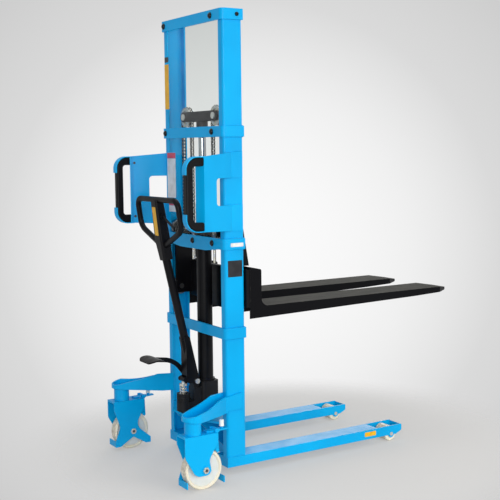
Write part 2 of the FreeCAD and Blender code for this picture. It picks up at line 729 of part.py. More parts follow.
# Ram
def crosshead_plate(x0):
    ends = [rod(CROSSHEAD_HEIGHT / 2, V(x0, side * (CROSSHEAD_HALF - CROSSHEAD_HEIGHT / 2), SHEAVE_HEIGHT),
                V(x0 + CROSSHEAD_WALL, side * (CROSSHEAD_HALF - CROSSHEAD_HEIGHT / 2), SHEAVE_HEIGHT))
            for side in (-1, 1)]
    middle = block(x0, x0 + CROSSHEAD_WALL, -CROSSHEAD_HALF + CROSSHEAD_HEIGHT / 2,
                   CROSSHEAD_HALF - CROSSHEAD_HEIGHT / 2, CROSSHEAD_BOTTOM, CROSSHEAD_TOP)
    plate = fuse([middle] + ends)
    for y in (-SHEAVE_Y, SHEAVE_Y):
        plate = plate.cut(rod(SHEAVE_PIN_RADIUS, V(x0, y, SHEAVE_HEIGHT),
                              V(x0 + CROSSHEAD_WALL, y, SHEAVE_HEIGHT)))
    return plate


def crosshead_plates():
    half = CROSSHEAD_GAP / 2
    return [crosshead_plate(CHAIN_X - half - CROSSHEAD_WALL), crosshead_plate(CHAIN_X + half)]


def sheave_pins():
    reach = CROSSHEAD_GAP / 2 + CROSSHEAD_WALL
    pins = []
    for y in (-SHEAVE_Y, SHEAVE_Y):
        ends = [V(CHAIN_X - reach, y, SHEAVE_HEIGHT), V(CHAIN_X + reach, y, SHEAVE_HEIGHT)]
        heads = [rod(SHEAVE_PIN_HEAD, ends[0] - X_AXIS * SHEAVE_PIN_HEAD_DEPTH, ends[0]),
                 rod(SHEAVE_PIN_HEAD, ends[1], ends[1] + X_AXIS * SHEAVE_PIN_HEAD_DEPTH)]
        pins.append(fuse([rod(SHEAVE_PIN_RADIUS, ends[0], ends[1])] + heads))
    return pins


def rod_head():
    half = CROSSHEAD_GAP / 2
    body = block(CHAIN_X - half, CHAIN_X + half, -ROD_HEAD_HALF, ROD_HEAD_HALF,
                 CROSSHEAD_BOTTOM, CROSSHEAD_TOP)
    low = CROSSHEAD_BOTTOM - ROD_HEAD_COLLAR_DROP
    collar = rod(ROD_HEAD_COLLAR_RADIUS, V(CYLINDER_X, 0, low), V(CYLINDER_X, 0, CROSSHEAD_BOTTOM))
    socket = rod(ROD_RADIUS, V(CYLINDER_X, 0, low - OVERRUN), V(CYLINDER_X, 0, low + ROD_SOCKET_DEPTH))
    return fuse([body, collar]).cut(socket)


def piston_rod():
    """Chromed rod with its piston, in one turned piece."""
    piston_radius = TUBE_RADIUS - TUBE_WALL - RUNNING_FIT
    rod_top = CROSSHEAD_BOTTOM - ROD_HEAD_COLLAR_DROP + ROD_SOCKET_DEPTH
    outline = [(0, 0), (piston_radius, 0), (piston_radius, PISTON_HEIGHT),
               (ROD_RADIUS, PISTON_HEIGHT), (ROD_RADIUS, rod_top - ROD_BOTTOM),
               (0, rod_top - ROD_BOTTOM)]
    return turned(outline, V(CYLINDER_X, 0, ROD_BOTTOM), Z_AXIS)


# Cylinder and pump
def cylinder_tube():
    """Tube closed at its foot, with the flange that seats it on the pump block."""
    foot = PUMP_BLOCK_TOP - TUBE_FOOT_DEPTH
    inside = TUBE_RADIUS - TUBE_WALL
    flange_top = PUMP_BLOCK_TOP + TUBE_FLANGE_WALL
    outline = [(0, foot), (TUBE_RADIUS, foot), (TUBE_RADIUS, PUMP_BLOCK_TOP),
               (TUBE_FLANGE_RADIUS, PUMP_BLOCK_TOP), (TUBE_FLANGE_RADIUS, flange_top),
               (TUBE_RADIUS, flange_top), (TUBE_RADIUS, TUBE_TOP), (inside, TUBE_TOP),
               (inside, foot + TUBE_WALL), (0, foot + TUBE_WALL)]
    return turned(outline, V(CYLINDER_X, 0, 0), Z_AXIS)


def cylinder_gland():
    spigot = TUBE_RADIUS - TUBE_WALL
    bore = ROD_RADIUS + RUNNING_FIT
    outline = [(bore, TUBE_TOP - GLAND_SPIGOT), (spigot, TUBE_TOP - GLAND_SPIGOT), (spigot, TUBE_TOP),
               (TUBE_RADIUS, TUBE_TOP), (TUBE_RADIUS, GLAND_TOP - GLAND_EDGE),
               (TUBE_RADIUS - GLAND_EDGE, GLAND_TOP), (bore, GLAND_TOP)]
    return turned(outline, V(CYLINDER_X, 0, 0), Z_AXIS)


def pump_bolt_places():
    for side in (-1, 1):
        yield PUMP_BOLT_X, side * (PUMP_FOOT_HALF - PUMP_BOLT_INSET)


def pump_shelf_bolt_hole(x, y):
    return rod(BOLT_RADIUS + RUNNING_FIT, V(x, y, SHELF_TOP - SHELF_WALL - OVERRUN),
               V(x, y, SHELF_TOP + PUMP_FOOT_WALL + OVERRUN))


def pump_base():
    """Shelf under the pump, the plate in front of it and two raking gussets."""
    half = [(COLUMN_DEPTH, SHELF_HALF), (COLUMN_WALL, SHELF_HALF), (COLUMN_WALL, FLANGE_TIP),
            (0, FLANGE_TIP), (SHELF_REAR, SHELF_REAR_HALF)]
    shelf = plan_view(half + [(x, -y) for x, y in reversed(half)], SHELF_TOP - SHELF_WALL, SHELF_TOP)
    half = [(LEG_INNER, LEG_BOTTOM), (LEG_INNER, LEG_TOP), (SHELF_HALF, LEG_TOP), (SHELF_HALF, SHELF_TOP)]
    plate_rear = COLUMN_DEPTH - FRONT_PLATE_WALL
    plate = rear_view(half + [(-y, z) for y, z in reversed(half)], plate_rear, COLUMN_DEPTH)
    low = SHELF_TOP - SHELF_WALL
    rake = [(SHELF_REAR + GUSSET_FOOT_RISE, low), (COLUMN_DEPTH, low), (COLUMN_DEPTH, LEG_TOP),
            (plate_rear - GUSSET_FOOT_RISE, LEG_TOP)]
    gussets = [side_view(rake, y - GUSSET_WALL / 2, y + GUSSET_WALL / 2) for y in (-GUSSET_Y, GUSSET_Y)]
    body = fuse([shelf, plate] + gussets)
    for x, y in pump_bolt_places():
        body = body.cut(pump_shelf_bolt_hole(x, y))
    return body


def pump_body():
    """Cast block under the cylinder, neck and foot under the barrel, and the handle's lug."""
    main = block(PUMP_BLOCK_REAR, PUMP_BLOCK_FRONT, -PUMP_BLOCK_HALF, PUMP_BLOCK_HALF,
                 SHELF_TOP, PUMP_BLOCK_TOP)
    main = round_upright(main, [(x, y) for x in (PUMP_BLOCK_REAR, PUMP_BLOCK_FRONT)
                                for y in (-PUMP_BLOCK_HALF, PUMP_BLOCK_HALF)], PUMP_BLOCK_CORNER)
    foot = block(PUMP_FOOT_REAR, PUMP_BLOCK_REAR + PUMP_BLOCK_CORNER, -PUMP_FOOT_HALF, PUMP_FOOT_HALF,
                 SHELF_TOP, SHELF_TOP + PUMP_FOOT_WALL)
    foot = round_upright(foot, [(PUMP_FOOT_REAR, -PUMP_FOOT_HALF), (PUMP_FOOT_REAR, PUMP_FOOT_HALF)],
                         PUMP_BLOCK_CORNER)
    neck = block(PLUNGER_X, PUMP_BLOCK_REAR + PUMP_BLOCK_CORNER, -PUMP_NECK_HALF, PUMP_NECK_HALF,
                 SHELF_TOP, BARREL_BORE_FLOOR)
    saddle = block(PIVOT_X - PUMP_LUG_RADIUS, PUMP_BLOCK_REAR + PUMP_BLOCK_CORNER,
                   -PUMP_NECK_HALF, PUMP_NECK_HALF, SHELF_TOP, PUMP_NECK_TOP)
    lug = fuse([block(PIVOT_X - PUMP_LUG_RADIUS, PIVOT_X + PUMP_LUG_RADIUS, -PUMP_LUG_HALF,
                      PUMP_LUG_HALF, PUMP_NECK_TOP, PIVOT_Z),
                rod(PUMP_LUG_RADIUS, V(PIVOT_X, -PUMP_LUG_HALF, PIVOT_Z),
                    V(PIVOT_X, PUMP_LUG_HALF, PIVOT_Z))])
    body = fuse([main, foot, neck, saddle, lug])
    body = body.cut(rod(BARREL_RADIUS, V(PLUNGER_X, 0, SHELF_TOP + PUMP_FOOT_WALL),
                        V(PLUNGER_X, 0, BARREL_TOP + OVERRUN)))
    body = body.cut(rod(TUBE_RADIUS, V(CYLINDER_X, 0, PUMP_BLOCK_TOP - TUBE_FOOT_DEPTH),
                        V(CYLINDER_X, 0, PUMP_BLOCK_TOP + OVERRUN)))
    body = body.cut(rod(PIVOT_RADIUS, V(PIVOT_X, -PUMP_LUG_HALF - OVERRUN, PIVOT_Z),
                        V(PIVOT_X, PUMP_LUG_HALF + OVERRUN, PIVOT_Z)))
    for x, y in pump_bolt_places():
        body = body.cut(pump_shelf_bolt_hole(x, y))
    return body


def pump_barrel():
    """Ribbed barrel with a cup for the return spring and a guide for the plunger."""
    bottom = SHELF_TOP + PUMP_FOOT_WALL
    guide = PLUNGER_RADIUS + RUNNING_FIT
    pitch = (BARREL_TOP - BARREL_BORE_FLOOR) / (2 * BARREL_RIB_COUNT)
    groove = BARREL_RADIUS - BARREL_RIB
    outline = [(guide, bottom), (BARREL_RADIUS, bottom), (BARREL_RADIUS, BARREL_BORE_FLOOR)]
    for rib in range(BARREL_RIB_COUNT):
        low = BARREL_BORE_FLOOR + 2 * pitch * rib
        outline += [(groove, low), (groove, low + pitch), (BARREL_RADIUS, low + pitch),
                    (BARREL_RADIUS, low + 2 * pitch)]
    outline += [(BARREL_BORE_RADIUS, BARREL_TOP), (BARREL_BORE_RADIUS, BARREL_BORE_FLOOR),
                (guide, BARREL_BORE_FLOOR)]
    return turned(outline, V(PLUNGER_X, 0, 0), Z_AXIS)


def plunger():
    """Plunger with the cap that holds the spring and the stud that the handle presses."""
    top = PIVOT_Z + PRESS_ROLLER_RISE - PRESS_ROLLER_RADIUS - SEAT_GAP
    outline = [(0, PLUNGER_BOTTOM), (PLUNGER_RADIUS, PLUNGER_BOTTOM), (PLUNGER_RADIUS, SPRING_CAP_BOTTOM),
               (SPRING_CAP_RADIUS, SPRING_CAP_BOTTOM), (SPRING_CAP_RADIUS, SPRING_CAP_TOP),
               (PLUNGER_RADIUS, SPRING_CAP_TOP), (PLUNGER_RADIUS, top), (0, top)]
    return turned(outline, V(PLUNGER_X, 0, 0), Z_AXIS)


def arc_middle(start, way, end):
    """Middle of the arc that leaves start in a unit direction and runs to end."""
    ahead = (end - start).normalize()
    aside = (way - ahead * way.dot(ahead)).normalize()
    return (start + end) / 2 + aside * ((end - start).Length / 2 * math.tan(way.getAngle(ahead) / 2))


def biarc(start, way, end, end_way):
    """Two arcs that leave start and reach end in unit directions and meet smoothly."""
    run = end - start
    bend = 2 * (1 - way.dot(end_way))
    pull = run.dot(way + end_way)
    reach = (math.sqrt(pull ** 2 + bend * run.dot(run)) - pull) / bend
    joint = (start + way * reach + end - end_way * reach) / 2
    return [Part.Arc(start, arc_middle(start, way, joint), joint).toShape(),
            Part.Arc(joint, arc_middle(end, -end_way, joint), end).toShape()]


def least_turn_gap(path, wire_radius):
    """Least distance between the surfaces of turns that lie half a turn or more apart."""
    points = [point for edge in path.Edges for point in edge.discretize(SPRING_SAMPLES)[1:]]
    half_turn = 2 * BIARCS_PER_TURN // 2 * (SPRING_SAMPLES - 1)
    return min((first - second).Length for index, first in enumerate(points)
               for second in points[index + half_turn:]) - 2 * wire_radius


def plunger_spring():
    """Round-wire helix between the barrel's cup and the plunger's cap, its turns on biarcs."""
    low = BARREL_BORE_FLOOR + SPRING_WIRE_RADIUS + SEAT_GAP
    high = SPRING_CAP_BOTTOM - SPRING_WIRE_RADIUS - SEAT_GAP
    steps = BIARCS_PER_TURN * SPRING_TURNS
    slope = (high - low) / (2 * math.pi * SPRING_TURNS)
    places, ways = [], []
    for step in range(steps + 1):
        turn = 2 * math.pi * step / BIARCS_PER_TURN
        places.append(V(PLUNGER_X + SPRING_RADIUS * math.cos(turn), SPRING_RADIUS * math.sin(turn),
                        low + slope * turn))
        ways.append(V(-SPRING_RADIUS * math.sin(turn), SPRING_RADIUS * math.cos(turn), slope).normalize())
    edges = []
    for index in range(steps):
        edges += biarc(places[index], ways[index], places[index + 1], ways[index + 1])
    path = Part.Wire(edges)
    print("plunger_spring least gap between turns: %.2f mm" % least_turn_gap(path, SPRING_WIRE_RADIUS))
    ring = Part.Wire(Part.makeCircle(SPRING_WIRE_RADIUS, places[0], ways[0]))
    return path.makePipeShell([ring], True, False)


# Pump handle
def lean(point):
    """Turn a point about the handle pivot from upright to the handle's resting lean."""
    turn = FreeCAD.Rotation(Y_AXIS, -HANDLE_LEAN_DEG)
    pivot = V(PIVOT_X, 0, PIVOT_Z)
    return pivot + turn.multVec(point - pivot)


def loop_frame():
    """Placement whose local Z runs up the loop, its local X forward, from the loop's foot."""
    foot = lean(V(PIVOT_X, 0, PIVOT_Z + LOOP_START))
    turn = FreeCAD.Rotation(Y_AXIS, -(HANDLE_LEAN_DEG - LOOP_SETBACK_DEG))
    return FreeCAD.Placement(foot, turn)


def placed(shape, placement):
    moved = shape.copy()
    moved.Placement = placement.multiply(moved.Placement)
    return moved


def press_centre():
    return V(PLUNGER_X, 0, PIVOT_Z + PRESS_ROLLER_RISE)


def handle_cheek():
    """Side plate of the socket: pivot eye, roller eye and a raked top round the shaft."""
    top = lean(V(PIVOT_X, 0, PIVOT_Z + SOCKET_HEIGHT))
    eye = PUMP_LUG_RADIUS + SEAT_GAP
    press = press_centre()

    def disc(x, z, radius):
        return rod(radius, V(x, SOCKET_INSIDE, z), V(x, SOCKET_OUTSIDE, z))

    rake = side_view([(PIVOT_X + eye, PIVOT_Z), (top.x + SOCKET_TOP_RADIUS, top.z),
                      (top.x - SOCKET_TOP_RADIUS, top.z), (SOCKET_REAR, top.z - SHAFT_START),
                      (SOCKET_REAR, press.z), (PIVOT_X - eye, PIVOT_Z)], SOCKET_INSIDE, SOCKET_OUTSIDE)
    tail = side_view([(press.x, press.z + PRESS_EAR_RADIUS), (press.x, press.z - PRESS_EAR_RADIUS),
                      (PIVOT_X, PIVOT_Z - eye), (PIVOT_X, press.z + PRESS_EAR_RADIUS)],
                     SOCKET_INSIDE, SOCKET_OUTSIDE)
    cheek = fuse([rake, tail, disc(PIVOT_X, PIVOT_Z, eye), disc(press.x, press.z, PRESS_EAR_RADIUS),
                  disc(top.x, top.z, SOCKET_TOP_RADIUS)])
    far = SOCKET_OUTSIDE + OVERRUN
    pin_bore = rod(PIVOT_RADIUS + RUNNING_FIT, V(PIVOT_X, 0, PIVOT_Z), V(PIVOT_X, far, PIVOT_Z))
    roller_bore = rod(PRESS_PIN_RADIUS, V(press.x, 0, press.z), V(press.x, far, press.z))
    return cheek.cut(pin_bore).cut(roller_bore)


def shaft_solid(radius, start, end):
    return rod(radius, lean(V(PIVOT_X, 0, PIVOT_Z + start)), lean(V(PIVOT_X, 0, PIVOT_Z + end)))


def handle_socket():
    """Two cheeks, the web behind them and the sleeve between them that takes the shaft."""
    top = lean(V(PIVOT_X, 0, PIVOT_Z + SOCKET_HEIGHT))
    web_low = press_centre().z + PRESS_EAR_RADIUS + SOCKET_WALL
    web = block(SOCKET_REAR, SOCKET_REAR + SOCKET_WALL, -SOCKET_INSIDE, SOCKET_INSIDE,
                web_low, top.z - SHAFT_START)
    sleeve = shaft_solid(SOCKET_INSIDE, SHAFT_START, SOCKET_HEIGHT)
    socket = fuse([handle_cheek(), mirrored(handle_cheek()), web, sleeve])
    return socket.cut(shaft_solid(SHAFT_RADIUS, SHAFT_START, LOOP_START))


def press_roller():
    """Roller that bears on the plunger, turned in one piece with its pin."""
    press = press_centre()
    return fuse([rod(PRESS_ROLLER_RADIUS, press - Y_AXIS * PUMP_LUG_HALF, press + Y_AXIS * PUMP_LUG_HALF),
                 rod(PRESS_PIN_RADIUS, press - Y_AXIS * SOCKET_OUTSIDE, press + Y_AXIS * SOCKET_OUTSIDE)])


def loop_tube():
    knee = LOOP_KNEE_HEIGHT
    corners = [V(0, LOOP_FOOT_HALF, LOOP_FOOT_HEIGHT), V(0, LOOP_HALF_WIDTH, knee),
               V(0, LOOP_HALF_WIDTH, LOOP_HEIGHT), V(0, -LOOP_HALF_WIDTH, LOOP_HEIGHT),
               V(0, -LOOP_HALF_WIDTH, knee), V(0, -LOOP_FOOT_HALF, LOOP_FOOT_HEIGHT)]
    radii = [LOOP_KNEE_RADIUS, LOOP_CORNER, LOOP_CORNER, LOOP_KNEE_RADIUS]
    return placed(tube_along(bent_path(corners, radii), LOOP_TUBE_RADIUS), loop_frame())


def rounded_ring(half_depth, half_width, height, forward=0):
    """Wire of a rectangle with rounded corners, level at a height and moved forward."""
    arcs = []
    for quarter, (along_x, along_y) in enumerate(((1, 1), (-1, 1), (-1, -1), (1, -1))):
        centre = V(forward + along_x * (half_depth - HOUSING_CORNER), along_y * (half_width - HOUSING_CORNER),
                   height)
        turns = [math.radians(90 * quarter + 45 * half) for half in range(3)]
        arcs.append([centre + V(math.cos(turn), math.sin(turn), 0) * HOUSING_CORNER for turn in turns])
    edges = []
    for arc, following in zip(arcs, arcs[1:] + arcs[:1]):
        edges.append(Part.Arc(*arc).toShape())
        edges.append(Part.LineSegment(arc[-1], following[0]).toShape())
    return Part.Wire(edges)


def handle_housing_solid():
    """Moulded spine of the loop, lofted from the shaft to the top bar."""
    foot = SHAFT_RADIUS + SOCKET_WALL
    foot_forward = -HOUSING_FOOT * math.tan(math.radians(LOOP_SETBACK_DEG))
    rings = [rounded_ring(foot, foot, HOUSING_FOOT, foot_forward),
             rounded_ring(HOUSING_HALF_DEPTH + SOCKET_WALL, HOUSING_SHOULDER_HALF, HOUSING_SHOULDER),
             rounded_ring(HOUSING_HALF_DEPTH, HOUSING_HALF_WIDTH, LOOP_HEIGHT)]
    return placed(Part.makeLoft(rings, True, True), loop_frame())


def pump_handle():
    """Steel shaft with the bent tube of the loop welded to its top."""
    return fuse([shaft_solid(SHAFT_RADIUS, SHAFT_START, LOOP_START + LOOP_FOOT_HEIGHT), loop_tube()])


def lever_pin(radius):
    half = HOUSING_SHOULDER_HALF + LEVER_HUB_WIDTH
    shape = rod(radius, V(0, -half, LEVER_HEIGHT), V(0, half, LEVER_HEIGHT))
    return placed(shape, loop_frame())


def handle_housing():
    body = handle_housing_solid().cut(pump_handle())
    return body.cut(lever_pin(LEVER_PIN_RADIUS + RUNNING_FIT))


def release_lever():
    """Cross pin with a bent finger bar on the right-hand side of the spine."""
    near = HOUSING_SHOULDER_HALF
    hub = rod(LEVER_HUB_RADIUS, V(0, -near, LEVER_HEIGHT), V(0, -near - LEVER_HUB_WIDTH, LEVER_HEIGHT))
    half = LEVER_BAR / 2
    start = -near - LEVER_HUB_WIDTH / 2
    bar = rear_view([(start, LEVER_HEIGHT + half), (start, LEVER_HEIGHT - half),
                     (start - LEVER_REACH, LEVER_HEIGHT - LEVER_DROP - half),
                     (start - LEVER_REACH, LEVER_HEIGHT - LEVER_DROP + half)],
                    -LEVER_WALL / 2, LEVER_WALL / 2)
    return fuse([placed(fuse([hub, bar]), loop_frame()), lever_pin(LEVER_PIN_RADIUS)])


def pedal_pad():
    """Crowned plate with round corners, wide enough for a boot."""
    rear, front = PEDAL_REAR, PEDAL_REAR + PEDAL_PAD_LENGTH
    middle = (rear + front) / 2
    top = PEDAL_TOE_Z + PEDAL_ARM_HEIGHT / 2
    brim = top - PEDAL_PAD_CROWN
    fall = V(0, 0, -PEDAL_PAD_WALL)
    start, crown, end = V(rear, 0, brim), V(middle, 0, top), V(front, 0, brim)
    edges = [Part.Arc(start, crown, end).toShape(), Part.LineSegment(end, end + fall).toShape(),
             Part.Arc(end + fall, crown + fall, start + fall).toShape(),
             Part.LineSegment(start + fall, start).toShape()]
    y0, y1 = PEDAL_PAD_Y - PEDAL_PAD_WIDTH / 2, PEDAL_PAD_Y + PEDAL_PAD_WIDTH / 2
    face = Part.Face(Part.Wire(edges))
    face.translate(V(0, y0, 0))
    plan = block(rear, front, y0, y1, brim - 2 * PEDAL_PAD_WALL, top + PEDAL_PAD_WALL)
    plan = round_upright(plan, [(x, y) for x in (rear, front) for y in (y0, y1)], PEDAL_PAD_CORNER)
    return face.extrude(Y_AXIS * (y1 - y0)).common(plan)


def foot_pedal():
    """Bent arm on the left cheek that carries the pad."""
    inner = SOCKET_OUTSIDE
    outer = inner + PEDAL_ARM_WALL
    corners = [V(PIVOT_X - PUMP_LUG_RADIUS - OVERRUN, 0, PIVOT_Z + PRESS_ROLLER_RISE),
               V(PEDAL_KNEE_X, 0, PEDAL_KNEE_Z),
               V(PEDAL_REAR + PEDAL_PAD_CORNER, 0, PEDAL_TOE_Z)]
    path = bent_path(corners, [PEDAL_KNEE_RADIUS])
    half = PEDAL_ARM_HEIGHT / 2
    ahead = (corners[1] - corners[0]).normalize()
    up = ahead.cross(Y_AXIS)
    section = Part.makePolygon([corners[0] + up * half + Y_AXIS * inner,
                                corners[0] + up * half + Y_AXIS * outer,
                                corners[0] - up * half + Y_AXIS * outer,
                                corners[0] - up * half + Y_AXIS * inner,
                                corners[0] + up * half + Y_AXIS * inner])
    arm = path.makePipeShell([section], True, False)
    return fuse([arm, pedal_pad()])


def pivot_bolt():
    outer = SOCKET_OUTSIDE + SEAT_GAP
    centre = V(PIVOT_X, 0, PIVOT_Z)
    shank = rod(PIVOT_RADIUS, centre - Y_AXIS * outer, centre + Y_AXIS * outer)
    heads = [rod(PIVOT_HEAD_RADIUS, centre + Y_AXIS * side * outer,
                 centre + Y_AXIS * side * (outer + PIVOT_HEAD_DEPTH)) for side in (-1, 1)]
    return fuse([shank] + heads)


# Legs and load rollers
def leg():
    nose = [(0, LEG_BOTTOM), (0, LEG_TOP), (LEG_LENGTH - LEG_NOSE_LIP, LEG_TOP),
            (LEG_LENGTH, LEG_TOP - LEG_NOSE_LIP), (LEG_LENGTH, LEG_BOTTOM + LEG_NOSE_RISE),
            (LEG_LENGTH - LEG_NOSE_RUN, LEG_BOTTOM)]
    body = side_view(nose, LEG_INNER, LEG_OUTER)
    lobe = rod(LEG_LOBE_RADIUS, V(LOAD_ROLLER_X, LEG_INNER, LOAD_ROLLER_RADIUS),
               V(LOAD_ROLLER_X, LEG_OUTER, LOAD_ROLLER_RADIUS))
    body = round_upright(body, [(LEG_LENGTH, LEG_INNER), (LEG_LENGTH, LEG_OUTER)], LEG_NOSE_CORNER)
    body = fuse([body, lobe])
    inner, outer = LEG_INNER + LEG_WALL, LEG_OUTER - LEG_WALL
    front = LEG_LENGTH - LEG_WALL
    hollow = block(LEG_WALL, front, inner, outer, LEG_BOTTOM - LEG_LOBE_RADIUS, LEG_TOP - LEG_WALL)
    slot = block(LEG_LENGTH - ROLLER_SLOT_LENGTH, front, inner, outer, LEG_BOTTOM, LEG_TOP + OVERRUN)
    slot = round_upright(slot, [(front, inner), (front, outer)], LEG_NOSE_CORNER - LEG_WALL)
    bore = rod(LOAD_AXLE_RADIUS, V(LOAD_ROLLER_X, LEG_INNER - OVERRUN, LOAD_ROLLER_RADIUS),
               V(LOAD_ROLLER_X, LEG_OUTER + OVERRUN, LOAD_ROLLER_RADIUS))
    return body.cut(hollow).cut(slot).cut(bore)


def load_axle():
    start = V(LOAD_ROLLER_X, LEG_INNER, LOAD_ROLLER_RADIUS)
    end = V(LOAD_ROLLER_X, LEG_OUTER, LOAD_ROLLER_RADIUS)
    return fuse([rod(LOAD_AXLE_RADIUS, start, end),
                 rod(LOAD_AXLE_HEAD, start - Y_AXIS * LOAD_AXLE_HEAD_DEPTH, start),
                 rod(LOAD_AXLE_HEAD, end, end + Y_AXIS * LOAD_AXLE_HEAD_DEPTH)])


def load_roller():
    half = (LEG_WIDTH / 2 - LEG_WALL) - LOAD_ROLLER_SIDE_GAP
    bore = LOAD_AXLE_RADIUS + RUNNING_FIT
    edge = LOAD_ROLLER_EDGE
    outline = [(bore, -half), (LOAD_ROLLER_RADIUS - edge, -half), (LOAD_ROLLER_RADIUS, -half + edge),
               (LOAD_ROLLER_RADIUS, half - edge), (LOAD_ROLLER_RADIUS - edge, half), (bore, half)]
    return turned(outline, V(LOAD_ROLLER_X, (LEG_INNER + LEG_OUTER) / 2, LOAD_ROLLER_RADIUS), Y_AXIS)


# Forks and carriage
def fork():
    """Hollow shank and inverted-channel blade with a chamfered nose."""
    top, rear, tip = FORK_TOP, SHANK_REAR, FORK_TIP_X
    shank_top = FORK_TOP + SHANK_HEIGHT
    outline = [(rear, top - FORK_HEEL_DEPTH), (tip - FORK_NECK_RUN, top - FORK_NECK_DEPTH),
               (tip, top - FORK_TIP_DEPTH), (tip, top - FORK_TIP_SLOPE), (tip - FORK_TIP_RUN, top),
               (SHANK_FRONT, top), (SHANK_FRONT, shank_top - SHANK_FALL), (rear, shank_top)]
    body = side_view(outline, FORK_INNER, FORK_OUTER)
    body = round_crosswise(body, [(SHANK_FRONT, top)], FORK_HEEL_RADIUS)
    body = round_crosswise(body, [(SHANK_FRONT, shank_top - SHANK_FALL)], SHANK_CORNER)
    for edge_y, inward in ((FORK_INNER, 1), (FORK_OUTER, -1)):
        low, high = top - FORK_HEEL_DEPTH, top + OVERRUN
        body = body.cut(plan_view([(tip - FORK_TIP_RUN, edge_y), (tip + OVERRUN, edge_y),
                                   (tip + OVERRUN, edge_y + inward * FORK_TIP_TAPER),
                                   (tip, edge_y + inward * FORK_TIP_TAPER)], low, high))
    inner, outer = FORK_INNER + FORK_WALL, FORK_OUTER - FORK_WALL
    tunnel_end = tip - FORK_TIP_RUN - FORK_WALL
    tunnel = block(rear - OVERRUN, tunnel_end, inner, outer, top - 2 * FORK_HEEL_DEPTH, top - FORK_WALL)
    throat = block(rear - OVERRUN, SHANK_FRONT - FORK_WALL, inner, outer,
                   top - FORK_WALL - OVERRUN, shank_top - SHANK_FALL - FORK_WALL)
    return body.cut(tunnel).cut(throat)


def carriage_side():
    inner, outer = SIDE_PLATE_INNER, SIDE_PLATE_OUTER
    foot = FORK_TOP + SHANK_HEIGHT + SEAT_GAP
    plate = side_view([(SIDE_PLATE_REAR, SIDE_PLATE_FOOT), (SHANK_REAR, SIDE_PLATE_FOOT),
                       (SHANK_REAR, foot), (GUSSET_FRONT, foot), (SIDE_PLATE_PEAK_FRONT, SIDE_PLATE_TOP),
                       (SIDE_PLATE_PEAK_REAR, SIDE_PLATE_TOP), (SIDE_PLATE_REAR, SIDE_PLATE_SHOULDER)],
                      inner, outer)
    lug = block(CHAIN_X - LUG_DEPTH / 2, CHAIN_X + LUG_DEPTH / 2, CHAIN_LIFT_Y - LINK_HEIGHT / 2,
                inner, LUG_TOP - LUG_WALL, LUG_TOP)
    ears = clevis(CHAIN_LIFT_Y, LUG_TOP - LUG_WALL, ANCHOR_CLEVIS_TOP, CHAIN_BOTTOM)
    side = fuse([plate, lug, ears])
    for height in GUIDE_ROLLER_HEIGHTS:
        side = side.cut(rod(GUIDE_PIN_RADIUS, V(CHAIN_X, inner - OVERRUN, height),
                            V(CHAIN_X, outer + OVERRUN, height)))
    return side


def carriage_frame():
    bottom = FORK_TOP - CARRIAGE_LEG_CLEARANCE
    skirt = bottom - CARRIAGE_SKIRT
    plate = rear_view([(-FORK_OUTER, bottom), (-CARRIAGE_SKIRT_HALF, bottom), (-CARRIAGE_SKIRT_HALF, skirt),
                       (CARRIAGE_SKIRT_HALF, skirt), (CARRIAGE_SKIRT_HALF, bottom), (FORK_OUTER, bottom),
                       (FORK_OUTER, CARRIAGE_TOP), (-FORK_OUTER, CARRIAGE_TOP)], PLATE_REAR, SHANK_REAR)
    beam = block(PLATE_REAR, PLATE_REAR + CARRIAGE_BEAM_WALL, -SIDE_PLATE_OUTER, SIDE_PLATE_OUTER,
                 CARRIAGE_BEAM_BOTTOM, CARRIAGE_BEAM_TOP)
    return fuse([plate, beam, carriage_side(), mirrored(carriage_side())])


def guide_roller_radius():
    return COLUMN_DEPTH / 2 - COLUMN_WALL - GUIDE_ROLLER_GAP


def guide_roller_inner_face():
    return (SIDE_PLATE_OUTER + GUIDE_WASHER_WALL) + SEAT_GAP


def guide_pins():
    """Stub pins welded into the side plates, each with a washer either side of its roller."""
    pins = []
    face = guide_roller_inner_face()
    far = face + GUIDE_ROLLER_WIDTH + SEAT_GAP
    for height in GUIDE_ROLLER_HEIGHTS:
        stub = rod(GUIDE_PIN_RADIUS, V(CHAIN_X, SIDE_PLATE_INNER, height), V(CHAIN_X, far, height))
        near_washer = rod(GUIDE_WASHER_RADIUS, V(CHAIN_X, SIDE_PLATE_OUTER, height),
                          V(CHAIN_X, SIDE_PLATE_OUTER + GUIDE_WASHER_WALL, height))
        far_washer = rod(GUIDE_WASHER_RADIUS, V(CHAIN_X, far, height),
                         V(CHAIN_X, far + GUIDE_WASHER_WALL, height))
        pin = fuse([stub, near_washer, far_washer])
        pins += [pin, mirrored(pin)]
    return pins


def guide_roller(height):
    radius = guide_roller_radius()
    bore = GUIDE_PIN_RADIUS + RUNNING_FIT
    near = guide_roller_inner_face()
    far = near + GUIDE_ROLLER_WIDTH
    recess = GUIDE_ROLLER_RECESS
    outline = [(bore, near), (radius - recess, near), (radius, near + recess), (radius, far - recess),
               (radius - recess, far), (GUIDE_WASHER_RADIUS + recess, far),
               (GUIDE_WASHER_RADIUS, far - recess), (GUIDE_WASHER_RADIUS, far), (bore, far)]
    return turned(outline, V(CHAIN_X, 0, height), Y_AXIS)


# Outriggers and casters
def tangent_point(centre, radius, point, side):
    """Where a line from a point touches a circle, on the given side of its centre line."""
    away = point - centre
    angle = math.atan2(away.y, away.x) + side * math.acos(radius / away.Length)
    return centre + V(radius * math.cos(angle), radius * math.sin(angle), 0)


